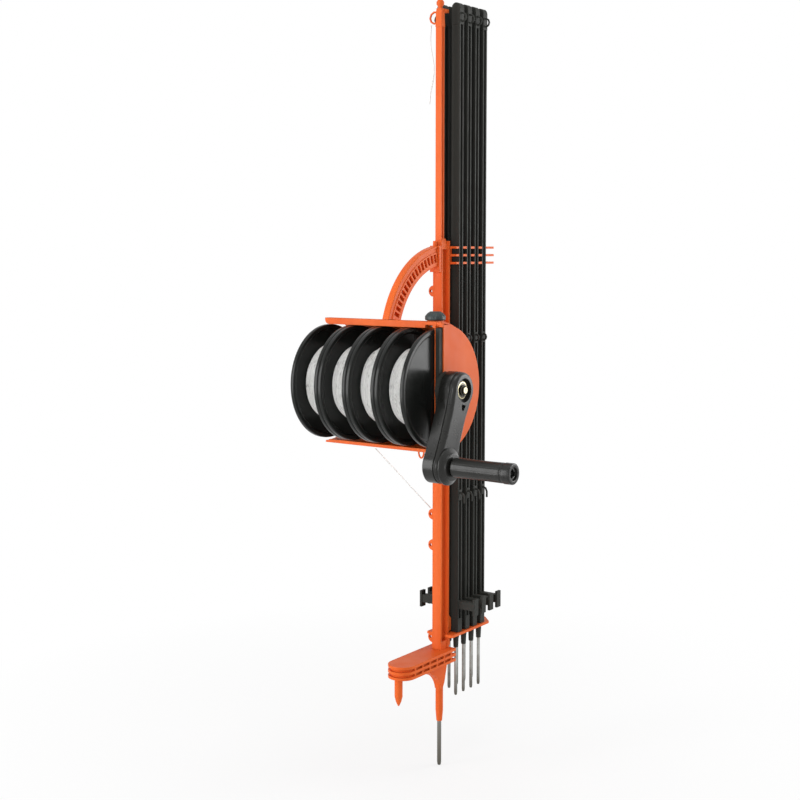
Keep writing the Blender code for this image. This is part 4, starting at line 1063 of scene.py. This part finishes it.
def handle_frame():
    """Centre and angles of the handle's arc, in the YZ plane."""
    start = Vector(HANDLE_START)
    end = Vector(HANDLE_END)
    chord = end - start
    half = math.asin(chord.length / 2 / HANDLE_RADIUS)
    normal = Vector((chord.y, -chord.x)).normalized()
    centre = (start + end) / 2 + normal * HANDLE_RADIUS * math.cos(half)
    first = math.degrees(math.atan2(start.y - centre.y, start.x - centre.x)) % 360
    last = math.degrees(math.atan2(end.y - centre.y, end.x - centre.x)) % 360
    return centre, first, last


def band(centre, inner, outer, first, last, steps):
    return arc(centre, outer, first, last, steps) + arc(centre, inner, last, first, steps)


def side_cuts(name, outline, inside):
    """A cut into each side of the handle, as far as a distance from its middle plane."""
    return [
        extruded(name, outline, -HANDLE_CUT_REACH, -inside),
        extruded(name, outline, inside, HANDLE_CUT_REACH),
    ]


def make_handle():
    """The handle's band with pockets along its inner part and a channel near its outer edge."""
    low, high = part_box("carry_handle")
    centre, first, last = handle_frame()
    outer = HANDLE_RADIUS + HANDLE_OUTWARD
    inner = HANDLE_RADIUS - HANDLE_INWARD
    outline = band(centre, inner, outer, first + BAND_TRIM[0], last - BAND_TRIM[1], 64)
    grip = extruded("carry_handle_finished", outline, -HANDLE_HALF_WIDTH, HANDLE_HALF_WIDTH)
    add_bevel(grip, HANDLE_ROUNDING, 3, 40)
    grip = applied(grip)
    cuts = []
    step = (last - first) / LADDER_POCKETS
    for count in range(LADDER_POCKETS):
        near = first + step * (count + LADDER_START)
        far = first + step * (count + LADDER_END)
        outline = band(centre, inner + LADDER_INNER, outer - LADDER_OUTER, near, far, 3)
        cuts += side_cuts("pocket", outline, HANDLE_WEB)
    near = first + CHANNEL_TRIM[0]
    far = last - CHANNEL_TRIM[1]
    channel = band(centre, outer - CHANNEL_INNER, outer - CHANNEL_OUTER, near, far, 48)
    cuts += side_cuts("channel", channel, HANDLE_HALF_WIDTH - CHANNEL_DEPTH)
    grip = cut(grip, gathered(cuts))
    barrel = rod(GUARD_RADIUS + GAP, -END_CUT_REACH, END_CUT_REACH, GUARD_CENTRE, 192)
    post_side = extruded("post_side", POST_SIDE_CORNERS, -END_CUT_REACH, END_CUT_REACH)
    pad = extruded("pad", rounded(PAD_CORNERS), -high.x, high.x)
    nub = turned("nub", NUB_OUTLINE, 32, NUB_PLACE, "Z")
    grip = joined(grip, pad, nub)
    grip = cut(grip, barrel, post_side)
    stands_for(smooth(grip), "carry_handle", ORANGE)


make_camera()
make_wires()
make_world(WORLD_LEVEL)
make_floor(cad_low.z - FLOOR_GAP)
for lamp in LAMPS:
    make_lamp(*lamp)

for reel in (1, 2, 3, 4):
    make_winding(reel, make_bobbin(reel))
make_crank()
make_grip()
make_knob()
make_spikes()
make_handle()
for name in sorted(frame["nodes"]):
    if not frame["nodes"][name].hide_render:
        softened(name, FINISH[SLOT[name]])

scene = bpy.context.scene
scene.view_settings.view_transform = "Standard"
bpy.context.view_layer.update()
